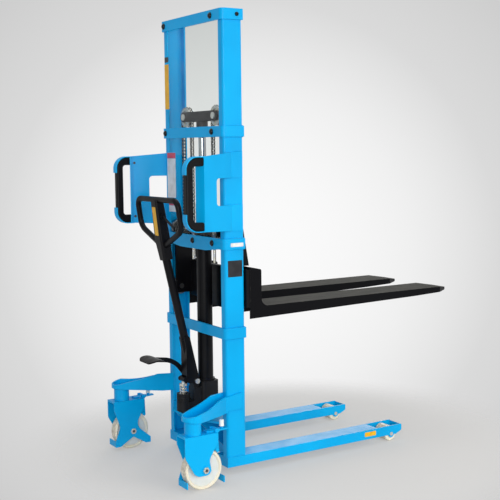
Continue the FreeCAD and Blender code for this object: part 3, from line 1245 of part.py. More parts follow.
def arm_plan(radius, inner_y, outer_y, front, low, high):
    """Plan of the arm: a round end joined by straight sides to the column."""
    centre = V(ARM_END_X, ARM_END_Y, 0)
    root_inner = V(0, inner_y, 0)
    root_outer = V(-BAND_WALL, outer_y, 0)
    inner_touch = tangent_point(centre, radius, root_inner, -1)
    outer_touch = tangent_point(centre, radius, root_outer, 1)
    tip = centre - V(radius, 0, 0)
    corners = [root_outer, V(front, outer_y, 0), V(front, inner_y, 0), root_inner]
    edges = [Part.Arc(inner_touch, tip, outer_touch).toShape(),
             Part.LineSegment(outer_touch, root_outer).toShape()]
    edges += [Part.LineSegment(first, second).toShape()
              for first, second in zip(corners, corners[1:] + [inner_touch])
              if (second - first).Length > SAME_PLACE]
    face = Part.Face(Part.Wire(edges))
    face.translate(V(0, 0, low))
    return face.extrude(V(0, 0, high - low))


def arm_underside(x):
    """Height of the arm's underside, which falls from the caster's end towards the column."""
    rear = ARM_END_X - ARM_END_RADIUS
    share = min(max((ARM_SLOPE_FRONT - x) / (ARM_SLOPE_FRONT - rear), 0), 1)
    return ARM_BOTTOM + (ARM_END_BOTTOM - ARM_BOTTOM) * share


def arm_crest():
    """Space below the arm's top edges, twisted because the inner wall stands higher than the outer."""
    rear, front = ARM_END_X - ARM_END_RADIUS - OVERRUN, ARM_WRAP + OVERRUN
    y0, y1 = ARM_INNER_Y - OVERRUN, ARM_END_Y + ARM_END_RADIUS + OVERRUN
    wires = []
    for y, column in ((y0, 1), (y1, 2)):
        tops = [V(rear * row[0], y, ARM_END_TOP + (ARM_TOP - ARM_END_TOP) * row[column]) for row in ARM_TOP_SHARES]
        corners = [V(rear, y, CASTER_TOP)] + tops + [V(front, y, ARM_TOP), V(front, y, CASTER_TOP)]
        wires.append(Part.makePolygon(corners + corners[:1]))
    return Part.makeLoft(wires, True, True)


def arm_trough():
    """Space inside the arm, above its sloping floor."""
    plan = arm_plan(ARM_END_RADIUS - ARM_WALL, ARM_INNER_Y + ARM_WALL, HALF_MAST, 0, CASTER_TOP, ARM_TOP + OVERRUN)
    rear, high = ARM_END_X - ARM_END_RADIUS - OVERRUN, ARM_TOP + 2 * OVERRUN
    above_floor = side_view([(rear, arm_underside(rear) + ARM_FLOOR), (ARM_SLOPE_FRONT, ARM_BOTTOM + ARM_FLOOR),
                             (ARM_WRAP, ARM_BOTTOM + ARM_FLOOR), (ARM_WRAP, high), (rear, high)],
                            ARM_INNER_Y, ARM_END_Y + ARM_END_RADIUS)
    return plan.common(above_floor)


def outrigger():
    """Open-topped arm with a round end, lapped on the column's web, and the caster's boss."""
    outer = arm_plan(ARM_END_RADIUS, ARM_INNER_Y, HALF_MAST + ARM_WALL, ARM_WRAP, CASTER_TOP, ARM_TOP + OVERRUN)
    front = ARM_WRAP + OVERRUN
    rear = ARM_END_X - ARM_END_RADIUS
    high = ARM_TOP + 2 * OVERRUN
    column_space = block(0, front, ARM_INNER_Y - OVERRUN, HALF_MAST, CASTER_TOP, high)
    above_underside = side_view([(rear - OVERRUN, ARM_END_BOTTOM), (rear, ARM_END_BOTTOM),
                                 (ARM_SLOPE_FRONT, ARM_BOTTOM), (0, ARM_BOTTOM), (0, ARM_LAP_BOTTOM),
                                 (front, ARM_LAP_BOTTOM), (front, high), (rear - OVERRUN, high)],
                                ARM_INNER_Y - OVERRUN, ARM_END_Y + ARM_END_RADIUS + OVERRUN)
    arm = outer.common(above_underside).common(arm_crest())
    centre = V(ARM_END_X, ARM_END_Y, 0)
    boss = rod(BOSS_RADIUS, centre + Z_AXIS * (CASTER_TOP + SEAT_GAP),
               centre + Z_AXIS * (ARM_END_BOTTOM + ARM_FLOOR))
    bore = rod(KINGPIN_RADIUS, centre + Z_AXIS * CASTER_TOP, centre + Z_AXIS * ARM_TOP)
    return fuse([arm, boss]).cut(arm_trough()).cut(column_space).cut(bore)


def kingpin():
    """Pin fixed in the boss, with a flanged lower end that holds the caster up."""
    centre = V(ARM_END_X, ARM_END_Y, 0)
    plate_bottom = CASTER_TOP - CASTER_TOP_WALL
    head_top = plate_bottom - SEAT_GAP
    return fuse([rod(KINGPIN_RADIUS, centre + Z_AXIS * (head_top - KINGPIN_HEAD_DEPTH),
                     centre + Z_AXIS * (arm_underside(ARM_END_X) + ARM_FLOOR)),
                 rod(KINGPIN_HEAD_RADIUS, centre + Z_AXIS * (head_top - KINGPIN_HEAD_DEPTH),
                     centre + Z_AXIS * head_top)])


def outer_cheek(y0, y1):
    """Plain cheek: a wide top with a shoulder, drawn in to a round end about the axle."""
    shoulder = CASTER_TOP - CHEEK_SHOULDER_DROP
    cheek = side_view([(CASTER_TOP_REAR, CASTER_TOP), (CASTER_TOP_FRONT, CASTER_TOP), (CASTER_TOP_FRONT, shoulder),
                       (CHEEK_WAIST_FRONT, CHEEK_WAIST_TOP), (CHEEK_END_FRONT, CASTER_WHEEL_RADIUS),
                       (CHEEK_END_FRONT, CHEEK_END_BOTTOM), (CHEEK_END_REAR, CHEEK_END_BOTTOM),
                       (CASTER_TOP_REAR, CHEEK_REAR_KNEE)], y0, y1)
    cheek = round_crosswise(cheek, [(CASTER_TOP_FRONT, shoulder)], CHEEK_CORNER)
    cheek = round_crosswise(cheek, [(CHEEK_END_FRONT, CHEEK_END_BOTTOM)], CHEEK_END_RADIUS - SEAT_GAP)
    return round_crosswise(cheek, [(CHEEK_END_REAR, CHEEK_END_BOTTOM), (CHEEK_WAIST_FRONT, CHEEK_WAIST_TOP),
                                   (CASTER_TOP_REAR, CHEEK_REAR_KNEE)], CHEEK_KNEE_RADIUS)


def guarded_cheek(y0, y1):
    """Cheek shaped like an X: drawn in above the axle, then spread to a toe at each end."""
    shoulder, low = CASTER_TOP - CHEEK_SHOULDER_DROP, GUARD_CLEARANCE
    front, rear, toe = GUARD_FRONT_REACH, -GUARD_REACH, GUARD_TOE_LENGTH
    middle = (front + rear) / 2
    cheek = side_view([(CASTER_TOP_REAR, CASTER_TOP), (CASTER_TOP_FRONT, CASTER_TOP), (CASTER_TOP_FRONT, shoulder),
                       (SPREAD_WAIST_FRONT, SPREAD_WAIST_HEIGHT), (front, GUARD_FOOT_HEIGHT), (front, low),
                       (front - toe, low), (middle, GUARD_ARCH_TOP), (rear + toe, low), (rear, low),
                       (rear, GUARD_FOOT_HEIGHT), (SPREAD_WAIST_REAR, SPREAD_WAIST_HEIGHT),
                       (CASTER_TOP_REAR, shoulder)], y0, y1)
    cheek = round_crosswise(cheek, [(CASTER_TOP_FRONT, shoulder), (middle, GUARD_ARCH_TOP)], CHEEK_CORNER)
    return round_crosswise(cheek, [(SPREAD_WAIST_FRONT, SPREAD_WAIST_HEIGHT),
                                   (SPREAD_WAIST_REAR, SPREAD_WAIST_HEIGHT)], SPREAD_RADIUS)


def caster_fork():
    """Top plate and two cheeks, the inner one with toe guards before and behind the wheel."""
    centre = V(CASTER_AXLE_X, ARM_END_Y, 0)
    half, wall = CASTER_FORK_HALF, CASTER_CHEEK_WALL
    cheeks = [outer_cheek(half - wall, half), guarded_cheek(-half, wall - half)]
    for cheek in cheeks:
        cheek.translate(centre)
    plate = block(CASTER_TOP_REAR, CASTER_TOP_FRONT, -half, half, CASTER_TOP - CASTER_TOP_WALL, CASTER_TOP)
    notch_half = BRAKE_PLATE_HALF + BRAKE_EAR_GAP
    plate = plate.cut(block(CASTER_TOP_FRONT - BRAKE_NOTCH_DEPTH, CASTER_TOP_FRONT, -notch_half, notch_half,
                            CASTER_TOP - CASTER_TOP_WALL, CASTER_TOP))
    plate.translate(centre)
    toes = []
    for toe_x in (-GUARD_REACH, GUARD_FRONT_REACH - wall):
        toe = block(toe_x, toe_x + wall, -half, half, GUARD_CLEARANCE, GUARD_FOOT_HEIGHT)
        toe.translate(centre)
        toes.append(toe)
    ear_x0, ear_x1 = CASTER_TOP_FRONT - BRAKE_EYE_RADIUS, BRAKE_PIN_X
    ears = []
    for side in (-1, 1):
        near = side * notch_half
        y0, y1 = sorted((near, near + side * BRAKE_EAR_WALL))
        ear = fuse([block(ear_x0, ear_x1, y0, y1, CASTER_TOP - CASTER_TOP_WALL, BRAKE_PIN_Z + BRAKE_EYE_RADIUS),
                    rod(BRAKE_EYE_RADIUS, V(BRAKE_PIN_X, y0, BRAKE_PIN_Z), V(BRAKE_PIN_X, y1, BRAKE_PIN_Z))])
        ear.translate(centre)
        ears.append(ear)
    body = fuse(cheeks + [plate] + toes + ears)
    axle = rod(CASTER_AXLE_RADIUS, V(CASTER_AXLE_X, ARM_END_Y - half - OVERRUN, CASTER_WHEEL_RADIUS),
               V(CASTER_AXLE_X, ARM_END_Y + half + OVERRUN, CASTER_WHEEL_RADIUS))
    swivel = rod(KINGPIN_RADIUS + RUNNING_FIT, V(ARM_END_X, ARM_END_Y, CASTER_TOP - CASTER_TOP_WALL - OVERRUN),
                 V(ARM_END_X, ARM_END_Y, CASTER_TOP + OVERRUN))
    pin_reach = notch_half + BRAKE_EAR_WALL + OVERRUN
    brake_pin = rod(BRAKE_PIN_RADIUS, V(BRAKE_PIN_X, -pin_reach, BRAKE_PIN_Z), V(BRAKE_PIN_X, pin_reach, BRAKE_PIN_Z))
    brake_pin.translate(centre)
    return body.cut(axle).cut(swivel).cut(brake_pin)


def caster_axle():
    half = CASTER_FORK_HALF
    centre = V(CASTER_AXLE_X, ARM_END_Y, CASTER_WHEEL_RADIUS)
    heads = [rod(CASTER_AXLE_HEAD, centre + Y_AXIS * side * half,
                 centre + Y_AXIS * side * (half + CASTER_AXLE_HEAD_DEPTH)) for side in (-1, 1)]
    return fuse([rod(CASTER_AXLE_RADIUS, centre - Y_AXIS * half, centre + Y_AXIS * half)] + heads)


def caster_wheel():
    half = CASTER_WHEEL_WIDTH / 2
    bore = CASTER_AXLE_RADIUS + RUNNING_FIT
    rim = CASTER_WHEEL_RADIUS - CASTER_RIM_WALL
    hub_half = CASTER_FORK_HALF - CASTER_CHEEK_WALL - SEAT_GAP
    web = half - CASTER_WEB_RECESS
    edge = CASTER_WHEEL_EDGE
    side = [(bore, hub_half), (CASTER_HUB_RADIUS - edge, hub_half), (CASTER_HUB_RADIUS, web), (rim, web),
            (rim + edge, half), (CASTER_WHEEL_RADIUS - edge, half), (CASTER_WHEEL_RADIUS, half - edge)]
    outline = side + [(radius, -along) for radius, along in reversed(side)]
    return turned(outline, V(CASTER_AXLE_X, ARM_END_Y, CASTER_WHEEL_RADIUS), Y_AXIS)


def brake_pedal():
    """Foot plate on a cross pin, with a shoe that swings against the wheel's tread."""
    pin = V(BRAKE_PIN_X, 0, BRAKE_PIN_Z)
    low = CASTER_TOP + 2 * SEAT_GAP
    high = low + BRAKE_PLATE_WALL
    plate = plan_view([(BRAKE_TAIL_X, -BRAKE_TAIL_HALF), (BRAKE_PIN_X, -BRAKE_PLATE_HALF),
                       (BRAKE_TIP_X, -BRAKE_TIP_HALF), (BRAKE_TIP_X, BRAKE_TIP_HALF),
                       (BRAKE_PIN_X, BRAKE_PLATE_HALF), (BRAKE_TAIL_X, BRAKE_TAIL_HALF)], low, high)
    hub = rod(BRAKE_EYE_RADIUS, pin - Y_AXIS * BRAKE_PLATE_HALF, pin + Y_AXIS * BRAKE_PLATE_HALF)
    angle = math.radians(BRAKE_SHOE_DEG)
    outward = V(math.cos(angle), 0, math.sin(angle))
    pad = V(0, 0, CASTER_WHEEL_RADIUS) + outward * (CASTER_WHEEL_RADIUS + BRAKE_SHOE_GAP)
    tangent = V(-math.sin(angle), 0, math.cos(angle)) * BRAKE_SHOE_WALL
    side = Y_AXIS * BRAKE_TAIL_HALF
    back = V(BRAKE_SHOE_WALL / 2, 0, 0)
    shoe = prism([pin - back - side, pad + tangent - side, pad - tangent - side,
                  pad - tangent + outward * BRAKE_SHOE_WALL - side, pin + back - side], side * 2)
    reach_y = BRAKE_PLATE_HALF + BRAKE_EAR_GAP + BRAKE_EAR_WALL
    cross_pin = rod(BRAKE_PIN_RADIUS - RUNNING_FIT, pin - Y_AXIS * reach_y, pin + Y_AXIS * reach_y)
    body = fuse([plate, hub, shoe, cross_pin])
    knob_base = V(BRAKE_KNOB_X, 0, high)
    neck_top = knob_base + Z_AXIS * BRAKE_NECK_HEIGHT
    knob = fuse([rod(BRAKE_NECK_RADIUS, knob_base, neck_top),
                 rod(BRAKE_KNOB_RADIUS, neck_top, knob_base + Z_AXIS * BRAKE_KNOB_HEIGHT)])
    solids = [body, knob]
    for solid in solids:
        solid.translate(V(CASTER_AXLE_X, ARM_END_Y, 0))
    return solids


# Steering handles
def grip_plate():
    """Bent plate on the column's web, notched at the front, with a return flange at the rear."""
    fold = V(GRIP_PLATE_FOLD_X, GRIP_PLATE_FOLD_Y, 0)
    bend = V(GRIP_PLATE_BEND, HALF_MAST, 0)
    slope = (fold - bend).normalize()
    inward = V(-slope.y, slope.x, 0)
    flange_end = fold + inward * GRIP_FLANGE
    path = [(flange_end.x, flange_end.y), (fold.x, fold.y), (bend.x, bend.y),
            (GRIP_PLATE_FRONT, HALF_MAST)]
    low, high = GRIP_PLATE_FRONT_BOTTOM, GRIP_PLATE_FRONT_TOP
    body = plan_view(strip_outline(path, GRIP_PLATE_WALL), low, high)
    rear = flange_end.x - GRIP_PLATE_WALL - OVERRUN
    far = GRIP_PLATE_FOLD_Y + GRIP_FLANGE
    taper = side_view([(rear, GRIP_PLATE_REAR_BOTTOM), (fold.x, GRIP_PLATE_REAR_BOTTOM), (GRIP_PLATE_FRONT, low),
                       (GRIP_PLATE_FRONT, high), (fold.x, GRIP_PLATE_REAR_TOP), (rear, GRIP_PLATE_REAR_TOP)],
                      HALF_MAST - OVERRUN, far)
    notch = block(GRIP_NOTCH_REAR, GRIP_PLATE_FRONT + OVERRUN, HALF_MAST - OVERRUN, far,
                  GRIP_NOTCH_BOTTOM, GRIP_NOTCH_TOP)
    notch = round_crosswise(notch, [(GRIP_NOTCH_REAR, GRIP_NOTCH_BOTTOM), (GRIP_NOTCH_REAR, GRIP_NOTCH_TOP)],
                            GRIP_NOTCH_CORNER)
    return body.common(taper).cut(notch)


def grip_shell_outline(inset, corner):
    """Closed D outline in side view: straight back, round rear corners."""
    rear = GRIP_REAR + inset
    low, high = GRIP_PLATE_REAR_BOTTOM + inset, GRIP_PLATE_REAR_TOP - inset
    front = GRIP_PLATE_FOLD_X
    solid = side_view([(front, low), (front, high), (rear, high), (rear, low)],
                      grip_near_side(), grip_near_side() + GRIP_DEPTH)
    return round_crosswise(solid, [(rear, low), (rear, high)], corner)


def grip_near_side():
    return GRIP_PLATE_FOLD_Y - GRIP_DEPTH + GRIP_PLATE_WALL


def handle_bracket():
    """Plate with the two curved straps that back the grip's corners."""
    wall = GRIP_SHELL_WALL
    shell = grip_shell_outline(0, GRIP_CORNER).cut(grip_shell_outline(wall, GRIP_CORNER - wall))
    middle = block(GRIP_REAR - OVERRUN, GRIP_PLATE_FOLD_X + OVERRUN, grip_near_side() - OVERRUN,
                   grip_near_side() + GRIP_DEPTH + OVERRUN, GRIP_PLATE_REAR_BOTTOM + GRIP_SHELL_DROP,
                   GRIP_PLATE_REAR_TOP - GRIP_SHELL_DROP)
    front = block(GRIP_PLATE_FOLD_X - GRIP_SHELL_WALL, GRIP_PLATE_FOLD_X, grip_near_side() - OVERRUN,
                  grip_near_side() + GRIP_DEPTH + OVERRUN, GRIP_PLATE_REAR_BOTTOM + wall,
                  GRIP_PLATE_REAR_TOP - wall)
    return fuse([grip_plate(), shell.cut(middle).cut(front)])


def handle_grip():
    """Moulded D grip inside the straps, seated against the return flange."""
    wall = GRIP_SHELL_WALL
    outer = grip_shell_outline(wall, GRIP_CORNER - wall)
    rear = GRIP_REAR + wall + GRIP_BAR
    low, high = GRIP_PLATE_REAR_BOTTOM + wall + GRIP_ARM, GRIP_PLATE_REAR_TOP - wall - GRIP_ARM
    gap = block(rear, GRIP_PLATE_FOLD_X + OVERRUN, grip_near_side() - OVERRUN,
                grip_near_side() + GRIP_DEPTH + OVERRUN, low, high)
    gap = round_crosswise(gap, [(rear, low), (rear, high)], GRIP_INNER_CORNER)
    body = outer.cut(gap)
    long_edges = [edge for edge in body.Edges
                  if abs(abs(edge.CenterOfMass.y - grip_near_side() - GRIP_DEPTH / 2) - GRIP_DEPTH / 2)
                  < SAME_PLACE and edge.CenterOfMass.x < GRIP_PLATE_FOLD_X - SAME_PLACE]
    body = body.makeFillet(GRIP_SOFTENING, long_edges)
    body = body.cut(handle_bracket())
    return max(body.Solids, key=lambda solid: solid.Volume)


def grip_screws():
    """Pan-head screws on the inner face of each plate, close to its fold."""
    fold = V(GRIP_PLATE_FOLD_X, GRIP_PLATE_FOLD_Y, 0)
    bend = V(GRIP_PLATE_BEND, HALF_MAST, 0)
    ahead = (bend - fold).normalize()
    inward = V(ahead.y, -ahead.x, 0)
    seat = fold + ahead * GRIP_SCREW_INSET
    screws = []
    for height in (GRIP_PLATE_REAR_BOTTOM + GRIP_SCREW_RISE, GRIP_PLATE_REAR_TOP - GRIP_SCREW_RISE):
        base = V(seat.x, seat.y, height)
        head = rod(GRIP_SCREW_HEAD, base, base + inward * GRIP_SCREW_HEAD_HEIGHT)
        screws += [head, mirrored(head)]
    return screws


def build():
    nodes = {}

    def add(name, shape):
        nodes[name] = shape if isinstance(shape, list) else [shape]

    def add_pair(name, left):
        shapes = left if isinstance(left, list) else [left]
        nodes[name + "_left"] = shapes
        nodes[name + "_right"] = [mirrored(shape) for shape in shapes]

    add_pair("column", column())
    add("mast_bands", mast_bands())
    add("anchor_band", anchor_band())
    add("guard_screen", guard_screen())
    add("mast_bolts", mast_bolts() + grip_screws())
    add("chain_anchors", [chain_anchor(-CHAIN_ANCHOR_Y), chain_anchor(CHAIN_ANCHOR_Y)] + anchor_nuts())
    add("pump_base", pump_base())
    add("pump_body", pump_body())
    add("pump_barrel", pump_barrel())
    add("cylinder_tube", cylinder_tube())
    add("cylinder_gland", cylinder_gland())
    add("pivot_bolt", pivot_bolt())
    add_pair("leg", leg())
    add("load_axles", [load_axle(), mirrored(load_axle())])
    add_pair("load_roller", load_roller())
    add_pair("outrigger", outrigger())
    add("kingpins", [kingpin(), mirrored(kingpin())])
    add_pair("handle_bracket", handle_bracket())
    add_pair("handle_grip", handle_grip())
    add_pair("chain_fixed", chain_run(CHAIN_ANCHOR_Y, CHAIN_BOTTOM, CHAIN_TOP))
    add_pair("chain_lift", chain_run(CHAIN_LIFT_Y, CHAIN_BOTTOM, CHAIN_TOP))
    add("chain_wraps", chain_wrap(SHEAVE_Y) + chain_wrap(-SHEAVE_Y))
    add_pair("sheave", sheave(SHEAVE_Y))
    add("piston_rod", piston_rod())
    add("rod_head", rod_head())
    add("crosshead_plates", crosshead_plates())
    add("sheave_pins", sheave_pins())
    add("carriage_frame", carriage_frame())
    add_pair("fork", fork())
    add("guide_pins", guide_pins())
    for level, height in zip(("lower", "upper"), GUIDE_ROLLER_HEIGHTS):
        add_pair("guide_roller_" + level, guide_roller(height))
    add("handle_socket", [handle_socket(), press_roller()])
    add("pump_handle", pump_handle())
    add("handle_housing", handle_housing())
    add("release_lever", release_lever())
    add("foot_pedal", foot_pedal())
    add("plunger", plunger())
    add("plunger_spring", plunger_spring())
    add_pair("caster_fork", caster_fork())
    add_pair("caster_axle", caster_axle())
    add_pair("caster_wheel", caster_wheel())
    add_pair("brake_pedal", brake_pedal())
    return nodes


def export(nodes):
    os.makedirs("parts", exist_ok=True)
    for name, shapes in nodes.items():
        piece = shapes[0] if len(shapes) == 1 else Part.makeCompound(shapes)
        piece = piece.copy()
        piece.translate(V(-ORIGIN_X, 0, 0))
        piece.exportStep("parts/%s.step" % name)


export(build())
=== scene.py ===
# %% [markdown]
# Hand pallet stacker, dressed over its CAD model. The welded steel, castings, wheels and rollers already
# have their true shape, so Blender adds finishes, chains, the spring, weld beads, screws and stickers.
# The model is loaded first.

# %% Load the model
import math

import bmesh
import bpy
from mathutils import Matrix, Vector


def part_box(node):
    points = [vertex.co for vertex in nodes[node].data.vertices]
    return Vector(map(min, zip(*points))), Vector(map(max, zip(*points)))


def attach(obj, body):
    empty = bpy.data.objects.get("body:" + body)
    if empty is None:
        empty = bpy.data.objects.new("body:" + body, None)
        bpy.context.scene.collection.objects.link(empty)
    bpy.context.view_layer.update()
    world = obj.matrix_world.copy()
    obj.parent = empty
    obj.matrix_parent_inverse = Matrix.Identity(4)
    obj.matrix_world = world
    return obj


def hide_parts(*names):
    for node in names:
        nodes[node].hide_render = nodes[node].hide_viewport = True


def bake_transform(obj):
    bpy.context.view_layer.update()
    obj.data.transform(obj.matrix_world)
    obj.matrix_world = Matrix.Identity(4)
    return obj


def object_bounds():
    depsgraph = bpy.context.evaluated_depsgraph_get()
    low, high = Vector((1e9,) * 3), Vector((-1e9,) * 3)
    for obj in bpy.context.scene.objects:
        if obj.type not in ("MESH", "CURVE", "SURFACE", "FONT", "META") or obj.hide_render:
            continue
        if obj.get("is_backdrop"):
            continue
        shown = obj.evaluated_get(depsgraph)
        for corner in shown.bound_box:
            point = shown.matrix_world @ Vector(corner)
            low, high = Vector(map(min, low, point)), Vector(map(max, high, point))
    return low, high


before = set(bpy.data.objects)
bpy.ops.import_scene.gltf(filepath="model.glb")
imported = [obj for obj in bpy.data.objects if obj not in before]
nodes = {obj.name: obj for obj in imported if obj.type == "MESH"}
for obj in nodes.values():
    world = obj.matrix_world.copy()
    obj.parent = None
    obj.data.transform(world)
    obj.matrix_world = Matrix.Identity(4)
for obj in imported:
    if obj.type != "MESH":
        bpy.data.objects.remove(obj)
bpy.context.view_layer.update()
scene = bpy.context.scene
MM = 0.001
X, Y, Z = Vector((1, 0, 0)), Vector((0, 1, 0)), Vector((0, 0, 1))
SIDES = (("left", 1), ("right", -1))

# %% [markdown]
# Colours are easiest to compare with a photograph as sRGB hex codes, but shaders want linear light, so
# one function turns them. A second adds any node with its settings and fills its inputs. Where it is
# given another node instead of a value, it links the first output of that node that is in use, so a
# finish below reads as a short list of what it is made of.

# %% Colour and node helpers


def colour(code):
    """Linear colour of an sRGB hex code."""
    parts = [int(code[place:place + 2], 16) / 255 for place in (1, 3, 5)]
    linear = [part / 12.92 if part <= 0.04045 else ((part + 0.055) / 1.055) ** 2.4 for part in parts]
    return (*linear, 1)


def add(tree, kind, inputs=None, **settings):
    """Add a node, then fill its inputs, by name or number, with values, sockets, nodes or lists of them."""
    node = tree.nodes.new(kind)
    for name, value in settings.items():
        setattr(node, name, value)
    for key, value in (inputs or {}).items():
        socket = node.inputs[key] if isinstance(key, int) else next(
            entry for entry in node.inputs if entry.enabled and entry.name == key)
        for source in value if isinstance(value, list) else [value]:
            if isinstance(source, bpy.types.Node):
                source = next(output for output in source.outputs if output.enabled)
            if isinstance(source, bpy.types.NodeSocket):
                tree.links.new(source, socket)
            else:
                socket.default_value = source
    return node


print("middle grey #808080 as linear light:", round(colour("#808080")[0], 3))

# %% [markdown]
# The camera stands where the photograph was taken: behind the machine and to its right, at about chest
# height, five metres away. It could be aimed by eye, but its place and angles came from fitting straight
# edges of the object, so the render can be laid over the photograph and compared edge by edge.

# %% Camera
CAMERA_PLACE = Vector((-2.7495, -4.0555, 1.4675))
CAMERA_YAW_DEG = 58.09
CAMERA_PITCH_DEG = -5.77
CAMERA_ROLL_DEG = -0.59
FOCAL_PIXELS = 993.3
FRAME_PIXELS = 500
SENSOR_MM = 36.0

lens = bpy.data.cameras.new("studio_camera")
lens.sensor_width = SENSOR_MM
lens.lens = FOCAL_PIXELS / FRAME_PIXELS * SENSOR_MM
camera = bpy.data.objects.new("studio_camera", lens)
scene.collection.objects.link(camera)
aim = (Matrix.Rotation(math.radians(CAMERA_YAW_DEG - 90), 4, "Z")
       @ Matrix.Rotation(math.radians(90 + CAMERA_PITCH_DEG), 4, "X")
       @ Matrix.Rotation(math.radians(CAMERA_ROLL_DEG), 4, "Z"))
camera.matrix_world = Matrix.Translation(CAMERA_PLACE) @ aim
scene.camera = camera
scene.view_settings.view_transform = "Standard"
print("lens in millimetres:", round(lens.lens, 1))

# %% [markdown]
# A product studio lights such a machine with one very large soft box and a bright room. The key lamp
# stands to the right, so that the right-hand faces glow and the rear faces stay deeper in tone, and it
# is a touch warmer than the rest. It is kept out of the reflections, as a polarising filter does, so the
# blue stays pure on the broad faces. Area lamps are used because they give soft shadows at little cost.

# %% Lamps
STUDIO_LAMPS = {
    "key_soft_box": {"place": (0.9, -4.6, 1.75), "width": 4.2, "height": 2.8, "watts": 122},
    "side_fill": {"place": (-3.6, -4.5, 2.0), "width": 1.8, "height": 2.4, "watts": 106},
    "overhead": {"place": (0.1, -0.2, 4.8), "width": 3.6, "height": 2.6, "watts": 46},
    "far_rim": {"place": (2.8, 3.4, 2.2), "width": 1.6, "height": 2.6, "watts": 30},
}
KEY_LAMP = "key_soft_box"
KEY_TINT = (1.0, 0.985, 0.93)
LAMP_TARGET = Vector((0.0, 0.0, 0.9))

for name, lamp in STUDIO_LAMPS.items():
    light = bpy.data.lights.new(name, "AREA")
    light.shape = "RECTANGLE"
    light.size, light.size_y = lamp["width"], lamp["height"]
    light.energy = lamp["watts"]
    holder = bpy.data.objects.new(name, light)
    holder.location = lamp["place"]
    holder.rotation_euler = (LAMP_TARGET - holder.location).to_track_quat("-Z", "Y").to_euler()
    scene.collection.objects.link(holder)
    if name == KEY_LAMP:
        light.color = KEY_TINT
        holder.visible_glossy = False
print("lamps:", ", ".join(STUDIO_LAMPS))

# %% [markdown]
# Behind the object the studio paper is nearly white in the middle of the picture and falls off to light
# grey at the corners. A big lit backdrop could give that, but it would also light the object. The world
# paints the fall-off by direction instead, for what the camera, gloss and glass see, while the light
# that it gives stays a plain soft grey.

# %% World
PAPER_TONES = ((0.0, "#FBFBFB"), (0.21, "#F0F0F0"), (0.5, "#DADADA"), (1.0, "#CCCCCC"))
PAPER_EDGE_DEG = 20
ROOM_TINT = "#F0F5FF"
ROOM_LIGHT = 0.5


def seen_rays(tree):
    """1 for rays from the camera, off gloss or through glass, and 0 for those that only carry light."""
    rays = add(tree, "ShaderNodeLightPath").outputs
    seen = add(tree, "ShaderNodeMath", {0: rays["Is Camera Ray"], 1: rays["Is Glossy Ray"]},
               operation="MAXIMUM")
    return add(tree, "ShaderNodeMath", {0: seen, 1: rays["Is Transmission Ray"]}, operation="MAXIMUM")


world = bpy.data.worlds.new("studio_paper")
world.use_nodes = True
tree = world.node_tree
tree.nodes.clear()
ahead = add(tree, "ShaderNodeVectorMath", {0: add(tree, "ShaderNodeTexCoord").outputs["Generated"],
                                           1: aim.to_3x3() @ -Z}, operation="DOT_PRODUCT")
turned_away = add(tree, "ShaderNodeMapRange", {"Value": ahead, "From Min": 1.0,
                                               "From Max": math.cos(math.radians(PAPER_EDGE_DEG))})
fall_off = add(tree, "ShaderNodeValToRGB", {"Fac": turned_away})
stops = fall_off.color_ramp.elements
for place, code in PAPER_TONES:
    stop = stops[0] if place == 0 else stops[-1] if place == 1 else stops.new(place)
    stop.color = colour(code)
backdrop = add(tree, "ShaderNodeBackground", {"Color": fall_off, "Strength": 1.0})
room = add(tree, "ShaderNodeBackground", {"Color": colour(ROOM_TINT), "Strength": ROOM_LIGHT})
mix = add(tree, "ShaderNodeMixShader", {0: seen_rays(tree), 1: room, 2: backdrop})
add(tree, "ShaderNodeOutputWorld", {"Surface": mix})
scene.world = world
print("world nodes:", len(tree.nodes))

# %% [markdown]
# The floor is the same paper: one flat sheet that takes the soft shadows and fades out with distance, so
# no horizon shows. Half of what is seen of it is the paper's own pale tone, which keeps the shadows as
# light as they are on a sheet lit from below.

# %% Floor
PAPER_FLOOR = "#DEDAD4"
PAPER_GLOW = "#D6D6D5"
GLOW_SHARE = 0.5
FADE_START, FADE_END = 0.85, 1.45
FLOOR_REACH = 3.0

paper = bpy.data.materials.new("studio_paper_floor")
paper.use_nodes = True
tree = paper.node_tree
tree.nodes.clear()
distance = add(tree, "ShaderNodeVectorMath", {0: add(tree, "ShaderNodeTexCoord").outputs["Object"]},
               operation="LENGTH")
gone = add(tree, "ShaderNodeMapRange", {"Value": distance, "From Min": FADE_START, "From Max": FADE_END},
           interpolation_type="SMOOTHSTEP")
matt = add(tree, "ShaderNodeBsdfPrincipled", {"Base Color": colour(PAPER_FLOOR), "Roughness": 0.9})
glow = add(tree, "ShaderNodeEmission", {"Color": colour(PAPER_GLOW), "Strength": 1.0})
share = add(tree, "ShaderNodeMath", {0: seen_rays(tree), 1: GLOW_SHARE}, operation="MULTIPLY")
mix = add(tree, "ShaderNodeMixShader", {0: share, 1: matt, 2: glow})
mix = add(tree, "ShaderNodeMixShader", {0: gone, 1: mix, 2: add(tree, "ShaderNodeBsdfTransparent")})
add(tree, "ShaderNodeOutputMaterial", {"Surface": mix})

sheet = bpy.data.meshes.new("floor")
sheet.from_pydata([(-FLOOR_REACH, -FLOOR_REACH, 0), (FLOOR_REACH, -FLOOR_REACH, 0),
                   (FLOOR_REACH, FLOOR_REACH, 0), (-FLOOR_REACH, FLOOR_REACH, 0)], [], [(0, 1, 2, 3)])
sheet.materials.append(paper)
floor = bpy.data.objects.new("floor", sheet)
scene.collection.objects.link(floor)
floor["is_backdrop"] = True
print("floor fades out from", FADE_START, "to", FADE_END, "metres")

# %% [markdown]
# Real surfaces differ in the same few ways. The tone drifts in clouds, the gloss is patchy, and there is
# a grain. Sheet and tube have no dead-sharp edges: the Bevel node rounds the shading normal there, and
# where the rounded normal leaves the flat one, noise breaks the edge up into the spots that rub first.
# Patterns read Object coordinates in metres, so each scale is worked out from a real size.

